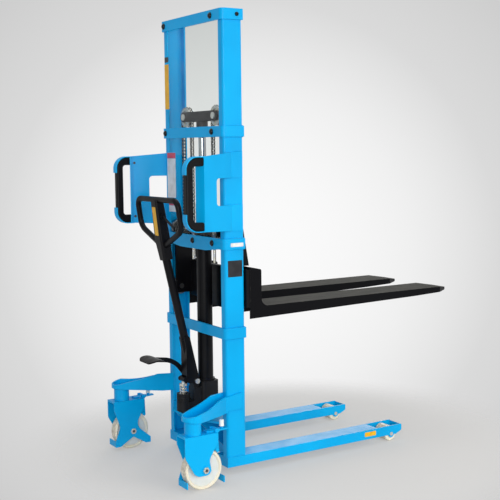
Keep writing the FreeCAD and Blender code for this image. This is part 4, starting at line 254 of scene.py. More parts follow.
# %% Clouds and rubbed edges
EDGE_BEGINS, EDGE_FULL = 0.985, 0.85
RUBBED_LOW, RUBBED_HIGH = 0.56, 0.68


def new_finish(name):
    """Empty material, its node tree, and the Object coordinates that its patterns read."""
    material = bpy.data.materials.new(name)
    material.use_nodes = True
    material.node_tree.nodes.clear()
    return material, material.node_tree, add(material.node_tree, "ShaderNodeTexCoord").outputs["Object"]


def patches(tree, place, size_mm, low=0.0, high=1.0, detail=2.0, least=0.0, most=1.0):
    """Clouds with features of a real size, whose values from low to high run from least to most."""
    clouds = add(tree, "ShaderNodeTexNoise", {"Vector": place, "Scale": 1 / (size_mm * MM), "Detail": detail})
    return add(tree, "ShaderNodeMapRange", {"Value": clouds, "From Min": low, "From Max": high,
                                            "To Min": least, "To Max": most})


def drifting_tone(tree, place, tones, **clouds):
    """Colour that drifts in clouds between the first and the second of two hex codes."""
    return add(tree, "ShaderNodeMix", {"Factor": patches(tree, place, **clouds), "A": colour(tones[0]),
                                       "B": colour(tones[1])}, data_type="RGBA")


def rubbed_spots(tree, place, rounded, patch_mm):
    """Mask of the rubbed spots along the edges."""
    flat = add(tree, "ShaderNodeNewGeometry").outputs["Normal"]
    match = add(tree, "ShaderNodeVectorMath", {0: rounded, 1: flat}, operation="DOT_PRODUCT")
    edge = add(tree, "ShaderNodeMapRange", {"Value": match, "From Min": EDGE_BEGINS, "From Max": EDGE_FULL})
    spots = patches(tree, place, patch_mm, low=RUBBED_LOW, high=RUBBED_HIGH, detail=4.0)
    return add(tree, "ShaderNodeMath", {0: edge, 1: spots}, operation="MULTIPLY")


print("an edge starts where the normals part by", round(math.degrees(math.acos(EDGE_BEGINS)), 1), "degrees")

# %% [markdown]
# Most finishes differ only in their numbers, so one recipe mixes them from what they have: two tones, the
# size of their clouds, the shader's own values, and where there are any, edges, gloss and grain. The few
# that need more are built by hand further down from the same parts.

# %% Recipe of a finish


def make_finish(name, tones, clouds, surface, edges=None, gloss=None, grain=None, stretch=(1, 1, 1)):
    """Material in two tones that drift in clouds. Every size in the recipe is in millimetres."""
    material, tree, place = new_finish(name)
    place = add(tree, "ShaderNodeMapping", {"Vector": place, "Scale": stretch})
    inputs = dict(surface)
    tone = drifting_tone(tree, place, tones, **clouds)
    if edges:
        inputs["Normal"] = add(tree, "ShaderNodeBevel", {"Radius": edges["radius_mm"] * MM}, samples=4)
        if "tone" in edges:
            spots = rubbed_spots(tree, place, inputs["Normal"], edges["patch_mm"])
            tone = add(tree, "ShaderNodeMix", {"Factor": spots, "A": tone, "B": colour(edges["tone"])},
                       data_type="RGBA")
    if gloss:
        inputs["Roughness"] = patches(tree, place, **gloss)
    if grain:
        height = patches(tree, place, grain["size_mm"], detail=grain.get("detail", 2.0))
        bump = {"Height": height, "Distance": grain["depth_mm"] * MM}
        if edges:
            bump["Normal"] = inputs["Normal"]
        inputs["Normal"] = add(tree, "ShaderNodeBump", bump)
    inputs["Base Color"] = tone
    shader = add(tree, "ShaderNodeBsdfPrincipled", inputs)
    add(tree, "ShaderNodeOutputMaterial", {"Surface": shader})
    print("finish:", name, "with", len(tree.nodes), "nodes")
    return material


print("every finish is listed below as it is mixed")

# %% [markdown]
# The frame is sprayed with a gloss alkyd enamel, a bright cyan blue. Sprayed enamel is a coloured layer
# under a clear skin, so it gets a coat with its own sharp gloss. The skin dries with a faint orange
# peel about 3 mm across, and the film is a little deeper in tone where it lay thicker.

# %% Blue gloss enamel
ENAMEL = make_finish(
    "blue_gloss_enamel", ("#00AEEA", "#00A2DE"), {"size_mm": 260, "low": 0.35, "high": 0.7},
    {"IOR": 1.5, "Specular IOR Level": 0.12, "Coat Weight": 0.1, "Coat Roughness": 0.1},
    edges={"radius_mm": 1.6, "patch_mm": 22, "tone": "#5FBFE6"},
    gloss={"size_mm": 60, "low": 0.3, "high": 0.7, "detail": 4.0, "least": 0.28, "most": 0.42},
    grain={"size_mm": 3.2, "depth_mm": 0.05})

# %% [markdown]
# The carriage, pump handle and cylinder are black. It is the same kind of enamel with more matting agent:
# the gloss is wider and the peel finer, and dust and hand grease make broad, slightly paler patches.

# %% Black satin enamel
BLACK = "#0C0C0F"
BLACK_RUBBED = "#6E6B60"
SATIN = make_finish(
    "black_satin_enamel", (BLACK, "#161618"), {"size_mm": 150, "low": 0.4, "high": 0.75, "detail": 4.0},
    {"IOR": 1.5, "Specular IOR Level": 0.12, "Coat Weight": 0.05, "Coat Roughness": 0.2},
    edges={"radius_mm": 1.2, "patch_mm": 18, "tone": BLACK_RUBBED},
    gloss={"size_mm": 45, "low": 0.3, "high": 0.7, "detail": 4.0, "least": 0.3, "most": 0.46},
    grain={"size_mm": 2.4, "depth_mm": 0.04})

# %% [markdown]
# The forks wear the same black. Their top face is painted a dull dark grey with streaks along the fork. This
# is a painted sheen, which stands in for the bright room that a top seen at a grazing angle reflects, and the
# gloss there is dulled. This lighter top could be a second material on its faces. A mask of where the surface
# faces up gives it a soft border instead, and clouds stretched along the fork give the streaks.

# %% Fork enamel with a painted sheen on top
FORK_TOP_SHEEN = "#454440"
FORK_SHEEN_STREAK = "#55534D"
FORK_ROUGHNESS, DULL_TOP_ROUGHNESS = 0.42, 0.85
STREAKS = {"size_mm": 9, "low": 0.42, "high": 0.66, "detail": 3.0}
STREAK_STRETCH = (0.08, 1, 1)
TOP_BEGINS, TOP_FULL = 0.85, 0.97


def fork_enamel_rubbed_edges_top_sheen():
    material, tree, place = new_finish("fork_enamel_rubbed_edges_top_sheen")
    rounded = add(tree, "ShaderNodeBevel", {"Radius": 1.8 * MM}, samples=4)
    rubbed = rubbed_spots(tree, place, rounded, patch_mm=26)
    normal = add(tree, "ShaderNodeNewGeometry").outputs["Normal"]
    upward = add(tree, "ShaderNodeSeparateXYZ", {0: normal}).outputs["Z"]
    # Painted sheen: the face that points up is mixed to a lighter grey with streaks along the fork.
    top = add(tree, "ShaderNodeMapRange", {"Value": upward, "From Min": TOP_BEGINS, "From Max": TOP_FULL})
    along = add(tree, "ShaderNodeMapping", {"Vector": place, "Scale": STREAK_STRETCH})
    top_sheen = drifting_tone(tree, along, (FORK_TOP_SHEEN, FORK_SHEEN_STREAK), **STREAKS)
    tone = add(tree, "ShaderNodeMix", {"Factor": top, "A": colour(BLACK), "B": top_sheen}, data_type="RGBA")
    tone = add(tree, "ShaderNodeMix", {"Factor": rubbed, "A": tone, "B": colour(BLACK_RUBBED)},
               data_type="RGBA")
    dull = add(tree, "ShaderNodeMapRange", {"Value": top, "To Min": FORK_ROUGHNESS, "To Max": DULL_TOP_ROUGHNESS})
    peel = add(tree, "ShaderNodeBump", {"Height": patches(tree, place, size_mm=2.4), "Distance": 0.04 * MM,
                                        "Normal": rounded})
    shader = add(tree, "ShaderNodeBsdfPrincipled", {
        "Base Color": tone, "Roughness": dull, "Normal": peel, "IOR": 1.5, "Specular IOR Level": 0.1})
    add(tree, "ShaderNodeOutputMaterial", {"Surface": shader})
    return material


FORK_ENAMEL = fork_enamel_rubbed_edges_top_sheen()
print("finish:", FORK_ENAMEL.name)

# %% [markdown]
# The pump is an iron sand casting under the same black. Its skin keeps the grain of the sand, which is
# too fine for this render and is drawn 1.5 mm across so that it shows, and a coarser waviness from the
# mould. The two are added as heights before one Bump node, so that neither flattens the other.

# %% Cast iron under enamel
SAND_GRAIN_MM = 1.5
MOULD_WAVE_MM = 14
CASTING_DEPTH_MM = 0.3


def enamelled_cast_iron():
    material, tree, place = new_finish("enamelled_cast_iron")
    rounded = add(tree, "ShaderNodeBevel", {"Radius": 2.2 * MM}, samples=4)
    rubbed = rubbed_spots(tree, place, rounded, patch_mm=12)
    tone = drifting_tone(tree, place, ("#0E0E10", "#232325"), size_mm=40, detail=4.0)
    tone = add(tree, "ShaderNodeMix", {"Factor": rubbed, "A": tone, "B": colour("#57534A")}, data_type="RGBA")
    skin = add(tree, "ShaderNodeMath", {0: patches(tree, place, MOULD_WAVE_MM, detail=1.0),
                                        1: patches(tree, place, SAND_GRAIN_MM, detail=1.0)}, operation="ADD")
    cast = add(tree, "ShaderNodeBump", {"Height": skin, "Distance": CASTING_DEPTH_MM * MM, "Normal": rounded})
    shader = add(tree, "ShaderNodeBsdfPrincipled", {
        "Base Color": tone, "Roughness": 0.45, "Normal": cast, "IOR": 1.5, "Specular IOR Level": 0.2})
    add(tree, "ShaderNodeOutputMaterial", {"Surface": shader})
    return material


CAST_IRON = enamelled_cast_iron()
print("finish:", CAST_IRON.name)

# %% [markdown]
# Hard chrome on the piston rod is a clean mirror with faint marks along the stroke. They are too fine for
# this render, so they are drawn about 1 mm apart, by clouds stretched upright. Bright zinc plate on
# anchors, axles and sheaves is softer: it drifts between blue and straw, and turns dull where it is
# handled. Its fine crystals are drawn 1 mm across so that they show.

# %% Chrome and zinc plate
CHROME_MARKS = {"size_mm": 1.2, "low": 0.3, "high": 0.7}
CHROME = make_finish(
    "hard_chrome", ("#D6D8DC", "#B4B8BE"), CHROME_MARKS, {"Metallic": 1.0},
    gloss={**CHROME_MARKS, "least": 0.05, "most": 0.16}, stretch=(1, 1, 0.02))
ZINC_ROUGHNESS, ZINC_RUBBED_ROUGHNESS = 0.27, 0.5


def bright_zinc_plate():
    material, tree, place = new_finish("bright_zinc_plate")
    tone = drifting_tone(tree, place, ("#CFD5DD", "#E2DCC8"), size_mm=16, low=0.35, high=0.65)
    rounded = add(tree, "ShaderNodeBevel", {"Radius": 0.6 * MM}, samples=4)
    dull = add(tree, "ShaderNodeMapRange", {"Value": rubbed_spots(tree, place, rounded, patch_mm=5),
                                            "To Min": ZINC_ROUGHNESS, "To Max": ZINC_RUBBED_ROUGHNESS})
    grain = add(tree, "ShaderNodeBump", {"Height": patches(tree, place, size_mm=1.0), "Distance": 0.03 * MM,
                                         "Normal": rounded})
    shader = add(tree, "ShaderNodeBsdfPrincipled", {"Base Color": tone, "Metallic": 0.72, "Roughness": dull,
                                                    "Normal": grain})
    add(tree, "ShaderNodeOutputMaterial", {"Surface": shader})
    return material


ZINC = bright_zinc_plate()
print("finish:", ZINC.name)

# %% [markdown]
# Turned steel on pins and guide rollers carries fine tool marks under a thin brown film. Phosphate on
# the rod head is a dull dark grey crystal skin that rubs bright on its edges. Black oxide is oily and
# dark, and the lacquer on the domed bolt heads is a deep black with one sharp highlight. Tool marks and
# crystals are finer than a tenth of a millimetre, and are drawn at about 1 mm so that they show.

# %% Turned, phosphated and blackened steel
STEEL = make_finish(
    "machined_steel", ("#A9ABAE", "#7C7A76"), {"size_mm": 25, "low": 0.35, "high": 0.7, "detail": 3.0},
    {"Metallic": 1.0, "Roughness": 0.3}, edges={"radius_mm": 0.6}, grain={"size_mm": 0.9, "depth_mm": 0.05})
PHOSPHATE = make_finish(
    "phosphated_steel", ("#454142", "#545051"), {"size_mm": 30, "detail": 4.0},
    {"Metallic": 0.1, "Roughness": 0.5, "Specular IOR Level": 0.25},
    edges={"radius_mm": 0.9, "patch_mm": 9, "tone": "#A8A9AB"}, grain={"size_mm": 1.2, "depth_mm": 0.05})
OXIDE = make_finish(
    "black_oxide", ("#0C0D10", "#24262B"), {"size_mm": 6}, {"Metallic": 0.6, "Roughness": 0.28},
    grain={"size_mm": 1.0, "depth_mm": 0.02})
BOLT_LACQUER = make_finish(
    "lacquered_bolt_black", ("#08080A", "#141417"), {"size_mm": 8},
    {"Roughness": 0.3, "IOR": 1.5, "Specular IOR Level": 0.1, "Coat Weight": 0.5, "Coat Roughness": 0.05})

# %% [markdown]
# A chain shows two steels. Its plates are blued and lie under a film of oil that catches dirt, drawn as
# specks of nearly 1 mm so that they show. Its rollers are hardened and polished by use, and their steel is
# painted nearly white. This is a painted glint, which stands in for the bright points that the rollers catch
# between the dark plates. The sheaves' pins get the same painted glint.

# %% Chain steels
CHAIN_PLATE_STEEL = make_finish(
    "oiled_chain_steel", ("#1E1B1A", "#100F10"), {"size_mm": 18, "detail": 3.0},
    {"Metallic": 0.3, "Roughness": 0.45, "Coat Weight": 0.1, "Coat Roughness": 0.2},
    grain={"size_mm": 0.8, "depth_mm": 0.03})
# Painted glint: the near-white tone of the rollers and pins stands in for their highlights.
CHAIN_ROLLER_GLINT_STEEL = make_finish(
    "polished_chain_steel_painted_glint", ("#F7F4EE", "#E4DFD6"), {"size_mm": 12}, {"Metallic": 0.25, "Roughness": 0.25})

# %% [markdown]
# The grips and the handle's spine are black moulded plastic with a fine spark-eroded grain, drawn at
# about 1 mm so that it shows. The caps of the brake knobs are glossy white plastic that yellows a little
# in patches, and the stickers are vinyl film in one colour each, slightly faded by light.

# %% Moulded plastics and vinyl
PLASTIC = make_finish(
    "moulded_black_plastic", ("#0B0B0E", "#151416"), {"size_mm": 60, "detail": 3.0},
    {"Roughness": 0.42, "IOR": 1.49, "Specular IOR Level": 0.17},
    edges={"radius_mm": 2.0, "patch_mm": 16, "tone": "#4A443C"},
    grain={"size_mm": 1.1, "depth_mm": 0.12, "detail": 1.0})
CAP_WHITE = make_finish("white_cap_plastic", ("#F4F3EE", "#E5E3DA"), {"size_mm": 12},
                        {"Roughness": 0.3, "IOR": 1.5})
WHITE_VINYL, YELLOW_VINYL, BLACK_VINYL, RED_VINYL = [
    make_finish(name, tones, {"size_mm": 30, "low": 0.4, "high": 0.7, "detail": 3.0},
                {"Roughness": 0.32, "IOR": 1.5})
    for name, tones in (("white_vinyl", ("#E9E8E4", "#D6D4CE")), ("yellow_vinyl", ("#F2B705", "#DDA302")),
                        ("black_vinyl", ("#1B1C1F", "#2A2B2E")), ("red_vinyl", ("#D8505C", "#C84650")))]

# %% [markdown]
# Wheels and load rollers are cast nylon: cream, waxy, and slightly translucent at the edge, which a
# little subsurface light gives. The tread picks up grey from the floor. It could be a second material on
# the tread's faces, but a mask that grows with distance from the axle has no hard border.

# %% Cast nylon
TREAD_BEGINS_MM, TREAD_FULL_MM = 4, 0.5
RIM_BEGINS_MM, RIM_FULL_MM = 18, 13
SCUFFS = {"size_mm": 14, "low": 0.35, "high": 0.7, "detail": 5.0}


def cast_nylon(name, axle, radius_mm):
    """Nylon of one wheel, with its axle through a point and along Y."""
    material, tree, place = new_finish(name)
    centred = add(tree, "ShaderNodeMapping", {"Vector": place, "Location": -axle})
    flat = add(tree, "ShaderNodeVectorMath", {0: centred, 1: (1, 0, 1)}, operation="MULTIPLY")
    reach = add(tree, "ShaderNodeVectorMath", {0: flat}, operation="LENGTH")
    tread, rim = [add(tree, "ShaderNodeMapRange", {"Value": reach, "From Min": (radius_mm - begins) * MM,
                                                   "From Max": (radius_mm - full) * MM})
                  for begins, full in ((TREAD_BEGINS_MM, TREAD_FULL_MM), (RIM_BEGINS_MM, RIM_FULL_MM))]
    dirt = add(tree, "ShaderNodeMath", {0: tread, 1: patches(tree, place, **SCUFFS)}, operation="MULTIPLY")
    disc = drifting_tone(tree, place, ("#E2E4E0", "#CDD2CF"), size_mm=30, detail=3.0)
    tyre = drifting_tone(tree, place, ("#F1EBD9", "#E6DCC2"), size_mm=50)
    tone = add(tree, "ShaderNodeMix", {"Factor": rim, "A": disc, "B": tyre}, data_type="RGBA")
    tone = add(tree, "ShaderNodeMix", {"Factor": dirt, "A": tone, "B": colour("#BDB5A0")}, data_type="RGBA")
    rounded = add(tree, "ShaderNodeBevel", {"Radius": 1.0 * MM}, samples=4)
    cast = add(tree, "ShaderNodeBump", {"Height": patches(tree, place, size_mm=4), "Distance": 0.06 * MM,
                                        "Normal": rounded})
    shader = add(tree, "ShaderNodeBsdfPrincipled", {
        "Base Color": tone, "Normal": cast, "Roughness": 0.36, "IOR": 1.53, "Subsurface Weight": 0.25,
        "Subsurface Scale": 0.004, "Subsurface Radius": (1.0, 0.8, 0.5)})
    add(tree, "ShaderNodeOutputMaterial", {"Surface": shader})
    return material


print("the tread's dirt starts", TREAD_BEGINS_MM, "mm inside the wheel's radius")

# %% [markdown]
# The guard is clear polycarbonate, a thin sheet that hardly bends what is seen through it. A glass shader
# on a solid sheet would bend light twice and cast a dark shadow. So it is a transparent shader with a
# share of gloss, which grows where the sheet is seen edge on and has faint scuffs.

# %% Clear polycarbonate
SHEET_TINT = "#F3F5F4"
EDGE_ON_POWER = 6.0
MOST_SCUFF = 0.03


def clear_polycarbonate():
    material, tree, place = new_finish("clear_polycarbonate")
    facing = add(tree, "ShaderNodeLayerWeight", {"Blend": 0.5}).outputs["Facing"]
    edge_on = add(tree, "ShaderNodeMath", {0: facing, 1: EDGE_ON_POWER}, operation="POWER")
    scuffs = patches(tree, place, size_mm=90, low=0.5, high=0.8, detail=5.0, most=MOST_SCUFF)
    share = add(tree, "ShaderNodeMath", {0: edge_on, 1: scuffs}, operation="ADD", use_clamp=True)
    clear = add(tree, "ShaderNodeBsdfTransparent", {"Color": colour(SHEET_TINT)})
    gloss = add(tree, "ShaderNodeBsdfGlossy", {"Color": colour("#FFFFFF"), "Roughness": 0.03})
    add(tree, "ShaderNodeOutputMaterial", {
        "Surface": add(tree, "ShaderNodeMixShader", {0: share, 1: clear, 2: gloss})})
    return material


POLYCARBONATE = clear_polycarbonate()
print("finish:", POLYCARBONATE.name)

# %% [markdown]
# Each CAD node keeps its mesh and only changes its finish. Nodes that are made of the same stuff share
# one material, and the four wheels have one each, because their tread mask needs their own axle.

# %% Put the finishes on the CAD nodes
WHEEL_RADII_MM = {"caster_wheel": 90, "load_roller": 37}


def both(*names):
    """Names of the left and right node of each kind."""
    return [name + "_" + side for name in names for side, _ in SIDES]


def middle(node):
    """Middle of a node's box."""
    low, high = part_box(node)
    return (low + high) / 2


FINISHES = [
    (ENAMEL, ["mast_bands", "anchor_band", "pump_base"]
     + both("column", "leg", "outrigger", "handle_bracket", "caster_fork", "brake_pedal")),
    (SATIN, ["carriage_frame", "pump_handle", "handle_socket", "foot_pedal", "cylinder_tube",
             "cylinder_gland", "release_lever"]),
    (FORK_ENAMEL, both("fork")),
    (CAST_IRON, ["pump_body", "pump_barrel"]),
    (CHROME, ["piston_rod"]),
    (ZINC, ["chain_anchors", "pivot_bolt", "plunger", "load_axles", "kingpins"]
     + both("caster_axle", "sheave")),
    # Painted glint: the sheave pins take the near-white roller steel.
    (CHAIN_ROLLER_GLINT_STEEL, ["sheave_pins"]),
    (STEEL, ["guide_pins"] + both("guide_roller_lower", "guide_roller_upper")),
    (PHOSPHATE, ["rod_head", "crosshead_plates"]),
    (OXIDE, ["mast_bolts"]),
    (PLASTIC, ["handle_housing"] + both("handle_grip")),
    (POLYCARBONATE, ["guard_screen"]),
]
FINISHES += [(cast_nylon("cast_nylon_" + node, middle(node), radius_mm), [node])
             for name, radius_mm in WHEEL_RADII_MM.items() for node in both(name)]
for material, names in FINISHES:
    for name in names:
        for slot in nodes[name].material_slots:
            slot.material = material
print("finished CAD nodes:", sum(len(names) for _, names in FINISHES))

# %% [markdown]
# Geometry Nodes build what repeats. Each tree has its sizes as named inputs, is run once on a small
# carrier mesh, and the result is kept as a plain mesh with the modifier gone. Copying meshes in a loop
# would do as well, but in a tree the same few sizes can be changed for every copy at once. One helper
# opens a tree with its inputs, and one closes it, with instances made real and each part painted.

# %% Open and close a tree


def new_tree(name, sizes_mm, others):
    """Geometry tree and its inputs: sizes, given here in millimetres, then numbers, directions, finishes."""
    tree = bpy.data.node_groups.new(name, "GeometryNodeTree")
    tree.interface.new_socket("Geometry", in_out="INPUT", socket_type="NodeSocketGeometry")
    values = {label: size_mm * MM for label, size_mm in sizes_mm.items()}
    for label, value in {**values, **others}.items():
        kind = {float: "NodeSocketFloat", Vector: "NodeSocketVector"}.get(type(value), "NodeSocketMaterial")
        tree.interface.new_socket(label, in_out="INPUT", socket_type=kind).default_value = value
    tree.interface.new_socket("Geometry", in_out="OUTPUT", socket_type="NodeSocketGeometry")
    return tree, add(tree, "NodeGroupInput").outputs


def close_tree(tree, given, parts):
    """Make each part's instances real, give them the finish of that input, and send all of them out."""
    finished = []
    for part, finish in parts:
        real = add(tree, "GeometryNodeRealizeInstances", {0: part})
        finished.append(add(tree, "GeometryNodeSetMaterial", {0: real, "Material": given[finish]}))
    add(tree, "NodeGroupOutput", {0: add(tree, "GeometryNodeJoinGeometry", {0: finished})})


print("tree helpers: new_tree, close_tree")

# %% [markdown]
# A carrier is only points or lines: where the screws sit, or where a weld runs. The tree's inputs are set
# on its modifier by the socket's identifier before it is first worked out, the outcome is copied to a
# mesh of its own, and the carrier goes.

# %% Run a tree on a carrier


def lines(name, paths):
    """Mesh of open lines, each through its list of points."""
    points, edges = [], []
    for path in paths:
        edges += [(len(points) + step, len(points) + step + 1) for step in range(len(path) - 1)]
        points += [tuple(point) for point in path]
    mesh = bpy.data.meshes.new(name)
    mesh.from_pydata(points, edges, [])
    return mesh


def grow(name, tree, mesh, body=None, **inputs):
    """Run a tree on a carrier mesh, keep the result as a plain mesh, and let it ride on a body."""
    carrier = bpy.data.objects.new(name + "_carrier", mesh)
    scene.collection.objects.link(carrier)
    modifier = carrier.modifiers.new(tree.name, "NODES")
    modifier.node_group = tree
    for item in tree.interface.items_tree:
        if item.in_out == "INPUT" and item.name.lower() in inputs:
            modifier[item.identifier] = inputs[item.name.lower()]
    grown = bpy.data.meshes.new_from_object(carrier.evaluated_get(bpy.context.evaluated_depsgraph_get()))
    bpy.data.objects.remove(carrier)
    grown.name = name
    piece = bpy.data.objects.new(name, grown)
    scene.collection.objects.link(piece)
    if body:
        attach(piece, body)
    print(name, "faces:", len(grown.polygons))
    return piece


print("carrier helpers: lines, grow")

# %% [markdown]
# The lifting chains are single-strand roller chains: pale rollers that show between dark plates. By turns
# a link has its pair of plates close to the rollers or outside that pair. Every plate is a figure of
# eight, and two discs with a narrower waist between them give it with few faces, which matters for a
# shape that is repeated hundreds of times.

# %% Chain plates
CHAIN_PITCH_MM = 15.875
CHAIN_PLATE_HEIGHT_MM = 15.0
CHAIN_WALL_MM = 1.5
CHAIN_ROLLER_WIDTH_MM = 8.8
WAIST_SHARE = 0.72
PLATE_PAIR_SHARES = (0.5, 1.6)
EYE_SIDES = 12
LYING = (0, math.pi / 2, 0)


def plate_pairs(tree, given):
    """Inner and outer pair of plates round a link's middle, with its pins apart along Z."""
    half_pitch, half_width, eye_radius, waist = [
        add(tree, "ShaderNodeMath", {0: given[size], 1: share}, operation="MULTIPLY")
        for size, share in (("Pitch", 0.5), ("Roller Width", 0.5), ("Plate Height", 0.5),
                            ("Plate Height", WAIST_SHARE))]
    eye = add(tree, "GeometryNodeMeshCylinder", {"Vertices": EYE_SIDES, "Radius": eye_radius,
                                                 "Depth": given["Plate Wall"]})
    up = add(tree, "ShaderNodeCombineXYZ", {"Z": half_pitch})
    down = add(tree, "ShaderNodeVectorMath", {0: up, "Scale": -1.0}, operation="SCALE")
    eyes = [add(tree, "GeometryNodeTransform", {"Geometry": eye, "Translation": shift, "Rotation": LYING})
            for shift in (up, down)]
    size = add(tree, "ShaderNodeCombineXYZ", {"X": given["Plate Wall"], "Y": waist, "Z": given["Pitch"]})
    bar = add(tree, "GeometryNodeMeshCube", {"Size": size})
    plate = add(tree, "GeometryNodeJoinGeometry", {0: eyes + [bar]})
    pairs = []
    for walls in PLATE_PAIR_SHARES:
        offset = add(tree, "ShaderNodeMath", {0: given["Plate Wall"], 1: walls, 2: half_width},
                     operation="MULTIPLY_ADD")
        pair = []
        for way in (-1.0, 1.0):
            aside = add(tree, "ShaderNodeMath", {0: offset, 1: way}, operation="MULTIPLY")
            shift = add(tree, "ShaderNodeCombineXYZ", {"X": aside})
            pair.append(add(tree, "GeometryNodeTransform", {"Geometry": plate, "Translation": shift}))
        pairs.append(add(tree, "GeometryNodeJoinGeometry", {0: pair}))
    return pairs


print("width over the inner plates in millimetres:", CHAIN_ROLLER_WIDTH_MM + 2 * CHAIN_WALL_MM)

# %% [markdown]
# The carrier line has a point at each pin of the chain. Plates go on its edges, turned to follow them,
# with inner and outer pairs by turns, and a pin and a roller go on each point.

# %% Roller chain tree
PIN_SIDES = 14


def roller_chain_tree():
    tree, given = new_tree("roller_chain", {
        "Pitch": CHAIN_PITCH_MM, "Plate Height": CHAIN_PLATE_HEIGHT_MM, "Plate Wall": CHAIN_WALL_MM,
        "Roller Width": CHAIN_ROLLER_WIDTH_MM, "Roller Radius": 5.8, "Pin Radius": 3.2, "Pin Length": 15.8},
        {"Plate Finish": CHAIN_PLATE_STEEL, "Roller Finish": CHAIN_ROLLER_GLINT_STEEL})
    ends = add(tree, "GeometryNodeInputMeshEdgeVertices").outputs
    run = add(tree, "ShaderNodeVectorMath", {0: ends["Position 2"], 1: ends["Position 1"]},
              operation="SUBTRACT")
    keep = add(tree, "GeometryNodeCaptureAttribute", {0: given["Geometry"]}, domain="EDGE")
    keep.capture_items.new("VECTOR", "Way")
    tree.links.new(run.outputs[0], keep.inputs["Way"])
    centres = add(tree, "GeometryNodeMeshToPoints", {0: keep}, mode="EDGES")
    turn = add(tree, "FunctionNodeAlignRotationToVector", {"Vector": keep.outputs["Way"]},
               axis="Z", pivot_axis="X")
    odd = add(tree, "ShaderNodeMath", {0: add(tree, "GeometryNodeInputIndex"), 1: 2.0}, operation="MODULO")
    even = add(tree, "ShaderNodeMath", {0: 1.0, 1: odd}, operation="SUBTRACT")
    parts = []
    for pair, chosen in zip(plate_pairs(tree, given), (even, odd)):
        placed = add(tree, "GeometryNodeInstanceOnPoints", {"Points": centres, "Instance": pair,
                                                            "Selection": chosen, "Rotation": turn})
        parts.append((placed, "Plate Finish"))
    joints = add(tree, "GeometryNodeMeshToPoints", {0: given["Geometry"]}, mode="VERTICES")
    for radius, length in (("Pin Radius", "Pin Length"), ("Roller Radius", "Roller Width")):
        drum = add(tree, "GeometryNodeMeshCylinder", {"Vertices": PIN_SIDES, "Radius": given[radius],
                                                      "Depth": given[length]})
        drum = add(tree, "GeometryNodeTransform", {"Geometry": drum, "Rotation": LYING})
        parts.append((add(tree, "GeometryNodeInstanceOnPoints", {"Points": joints, "Instance": drum}),
                      "Roller Finish"))
    close_tree(tree, given, parts)
    return tree


CHAIN_TREE = roller_chain_tree()
print("chain tree nodes:", len(CHAIN_TREE.nodes))

# %% [markdown]
# The straight runs reach from the anchors on the mast and on the carriage up to the sheaves. In the real
# machine chain passes over the sheaves as they rise. Here each run is a straight row of pins from the foot to
# the head of its CAD node's box, which it replaces.

# %% Straight runs of chain
for side, _ in SIDES:
    for run, holder in (("chain_fixed", "mast"), ("chain_lift", "carriage")):
        node = run + "_" + side
        low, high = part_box(node)
        foot = Vector(((low.x + high.x) / 2, (low.y + high.y) / 2, low.z + CHAIN_PLATE_HEIGHT_MM / 2 * MM))
        head = Vector((foot.x, foot.y, high.z - CHAIN_PLATE_HEIGHT_MM / 2 * MM))
        count = round((head.z - foot.z) / (CHAIN_PITCH_MM * MM))
        pins = [foot.lerp(head, step / count) for step in range(count + 1)]
        chain = grow("roller_" + node, CHAIN_TREE, lines(node, [pins]))
        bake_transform(chain)
        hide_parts(node)

# %% [markdown]
# Over the top of each sheave the chain keeps its pitch and rides on the ram. Its pins are laid out by
# length: round half a turn of the pitch circle, and straight down with what is left at each end.

# %% Chain over the sheaves
SHEAVE_PITCH_RADIUS_MM = 41.0
WRAP_LINKS = 9

half_turn = math.pi * SHEAVE_PITCH_RADIUS_MM
tail = (WRAP_LINKS * CHAIN_PITCH_MM - half_turn) / 2
arcs = []
for side, _ in SIDES:
    hub = middle("sheave_" + side)
    arc = []
    for link in range(WRAP_LINKS + 1):
        along = link * CHAIN_PITCH_MM - tail
        angle = min(max(along, 0), half_turn) / SHEAVE_PITCH_RADIUS_MM
        below = min(along, 0) + min(half_turn - along, 0)
        arc.append(hub + Vector((0, math.cos(angle) * SHEAVE_PITCH_RADIUS_MM * MM,
                                 (math.sin(angle) * SHEAVE_PITCH_RADIUS_MM + below) * MM)))
    arcs.append(arc)
wraps = grow("roller_chain_wraps", CHAIN_TREE, lines("wraps", arcs), "ram")
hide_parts("chain_wraps")

# %% [markdown]
# The pump's return spring is round wire. A spiral curve swept by a circle is exactly that, so the tree is
# short. The spring closes up as the plunger goes down. Here it is built at its rest length, between the foot
# and the head of the CAD spring's box.

# %% Return spring
SPRING_WIRE_MM = 2.9


def spring_tree():
    tree, given = new_tree("wire_spring", {"Radius": 15.5, "Wire Radius": SPRING_WIRE_MM, "Height": 70},
                           {"Turns": 5.0, "Finish": ZINC})
    helix = add(tree, "GeometryNodeCurveSpiral", {
        "Resolution": 40, "Rotations": given["Turns"], "Start Radius": given["Radius"],
        "End Radius": given["Radius"], "Height": given["Height"]})
    section = add(tree, "GeometryNodeCurvePrimitiveCircle", {"Resolution": 12,
                                                             "Radius": given["Wire Radius"]})
    wire = add(tree, "GeometryNodeCurveToMesh", {"Curve": helix, "Profile Curve": section, "Fill Caps": True})
    smooth = add(tree, "GeometryNodeSetShadeSmooth", {0: wire, "Shade Smooth": True})
    feet = add(tree, "GeometryNodeMeshToPoints", {0: given["Geometry"]})
    placed = add(tree, "GeometryNodeInstanceOnPoints", {"Points": feet, "Instance": smooth})
    close_tree(tree, given, [(placed, "Finish")])
    return tree


low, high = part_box("plunger_spring")
foot = Vector((middle("plunger").x, middle("plunger").y, low.z + SPRING_WIRE_MM * MM))
rise = high.z - low.z - 2 * SPRING_WIRE_MM * MM
spring = grow("return_spring", spring_tree(), lines("spring_foot", [[foot]]), height=rise)
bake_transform(spring)
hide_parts("plunger_spring")

# %% [markdown]
# The frame is arc welded before it is sprayed. A weld bead is a row of frozen ripples, a few millimetres
# apart and not quite regular. A bevelled curve would be too even, so the tree lays a flattened drop at
# every step along the carrier's lines, with a fixed seed for its size. Beads are painted with the part
# that they join.

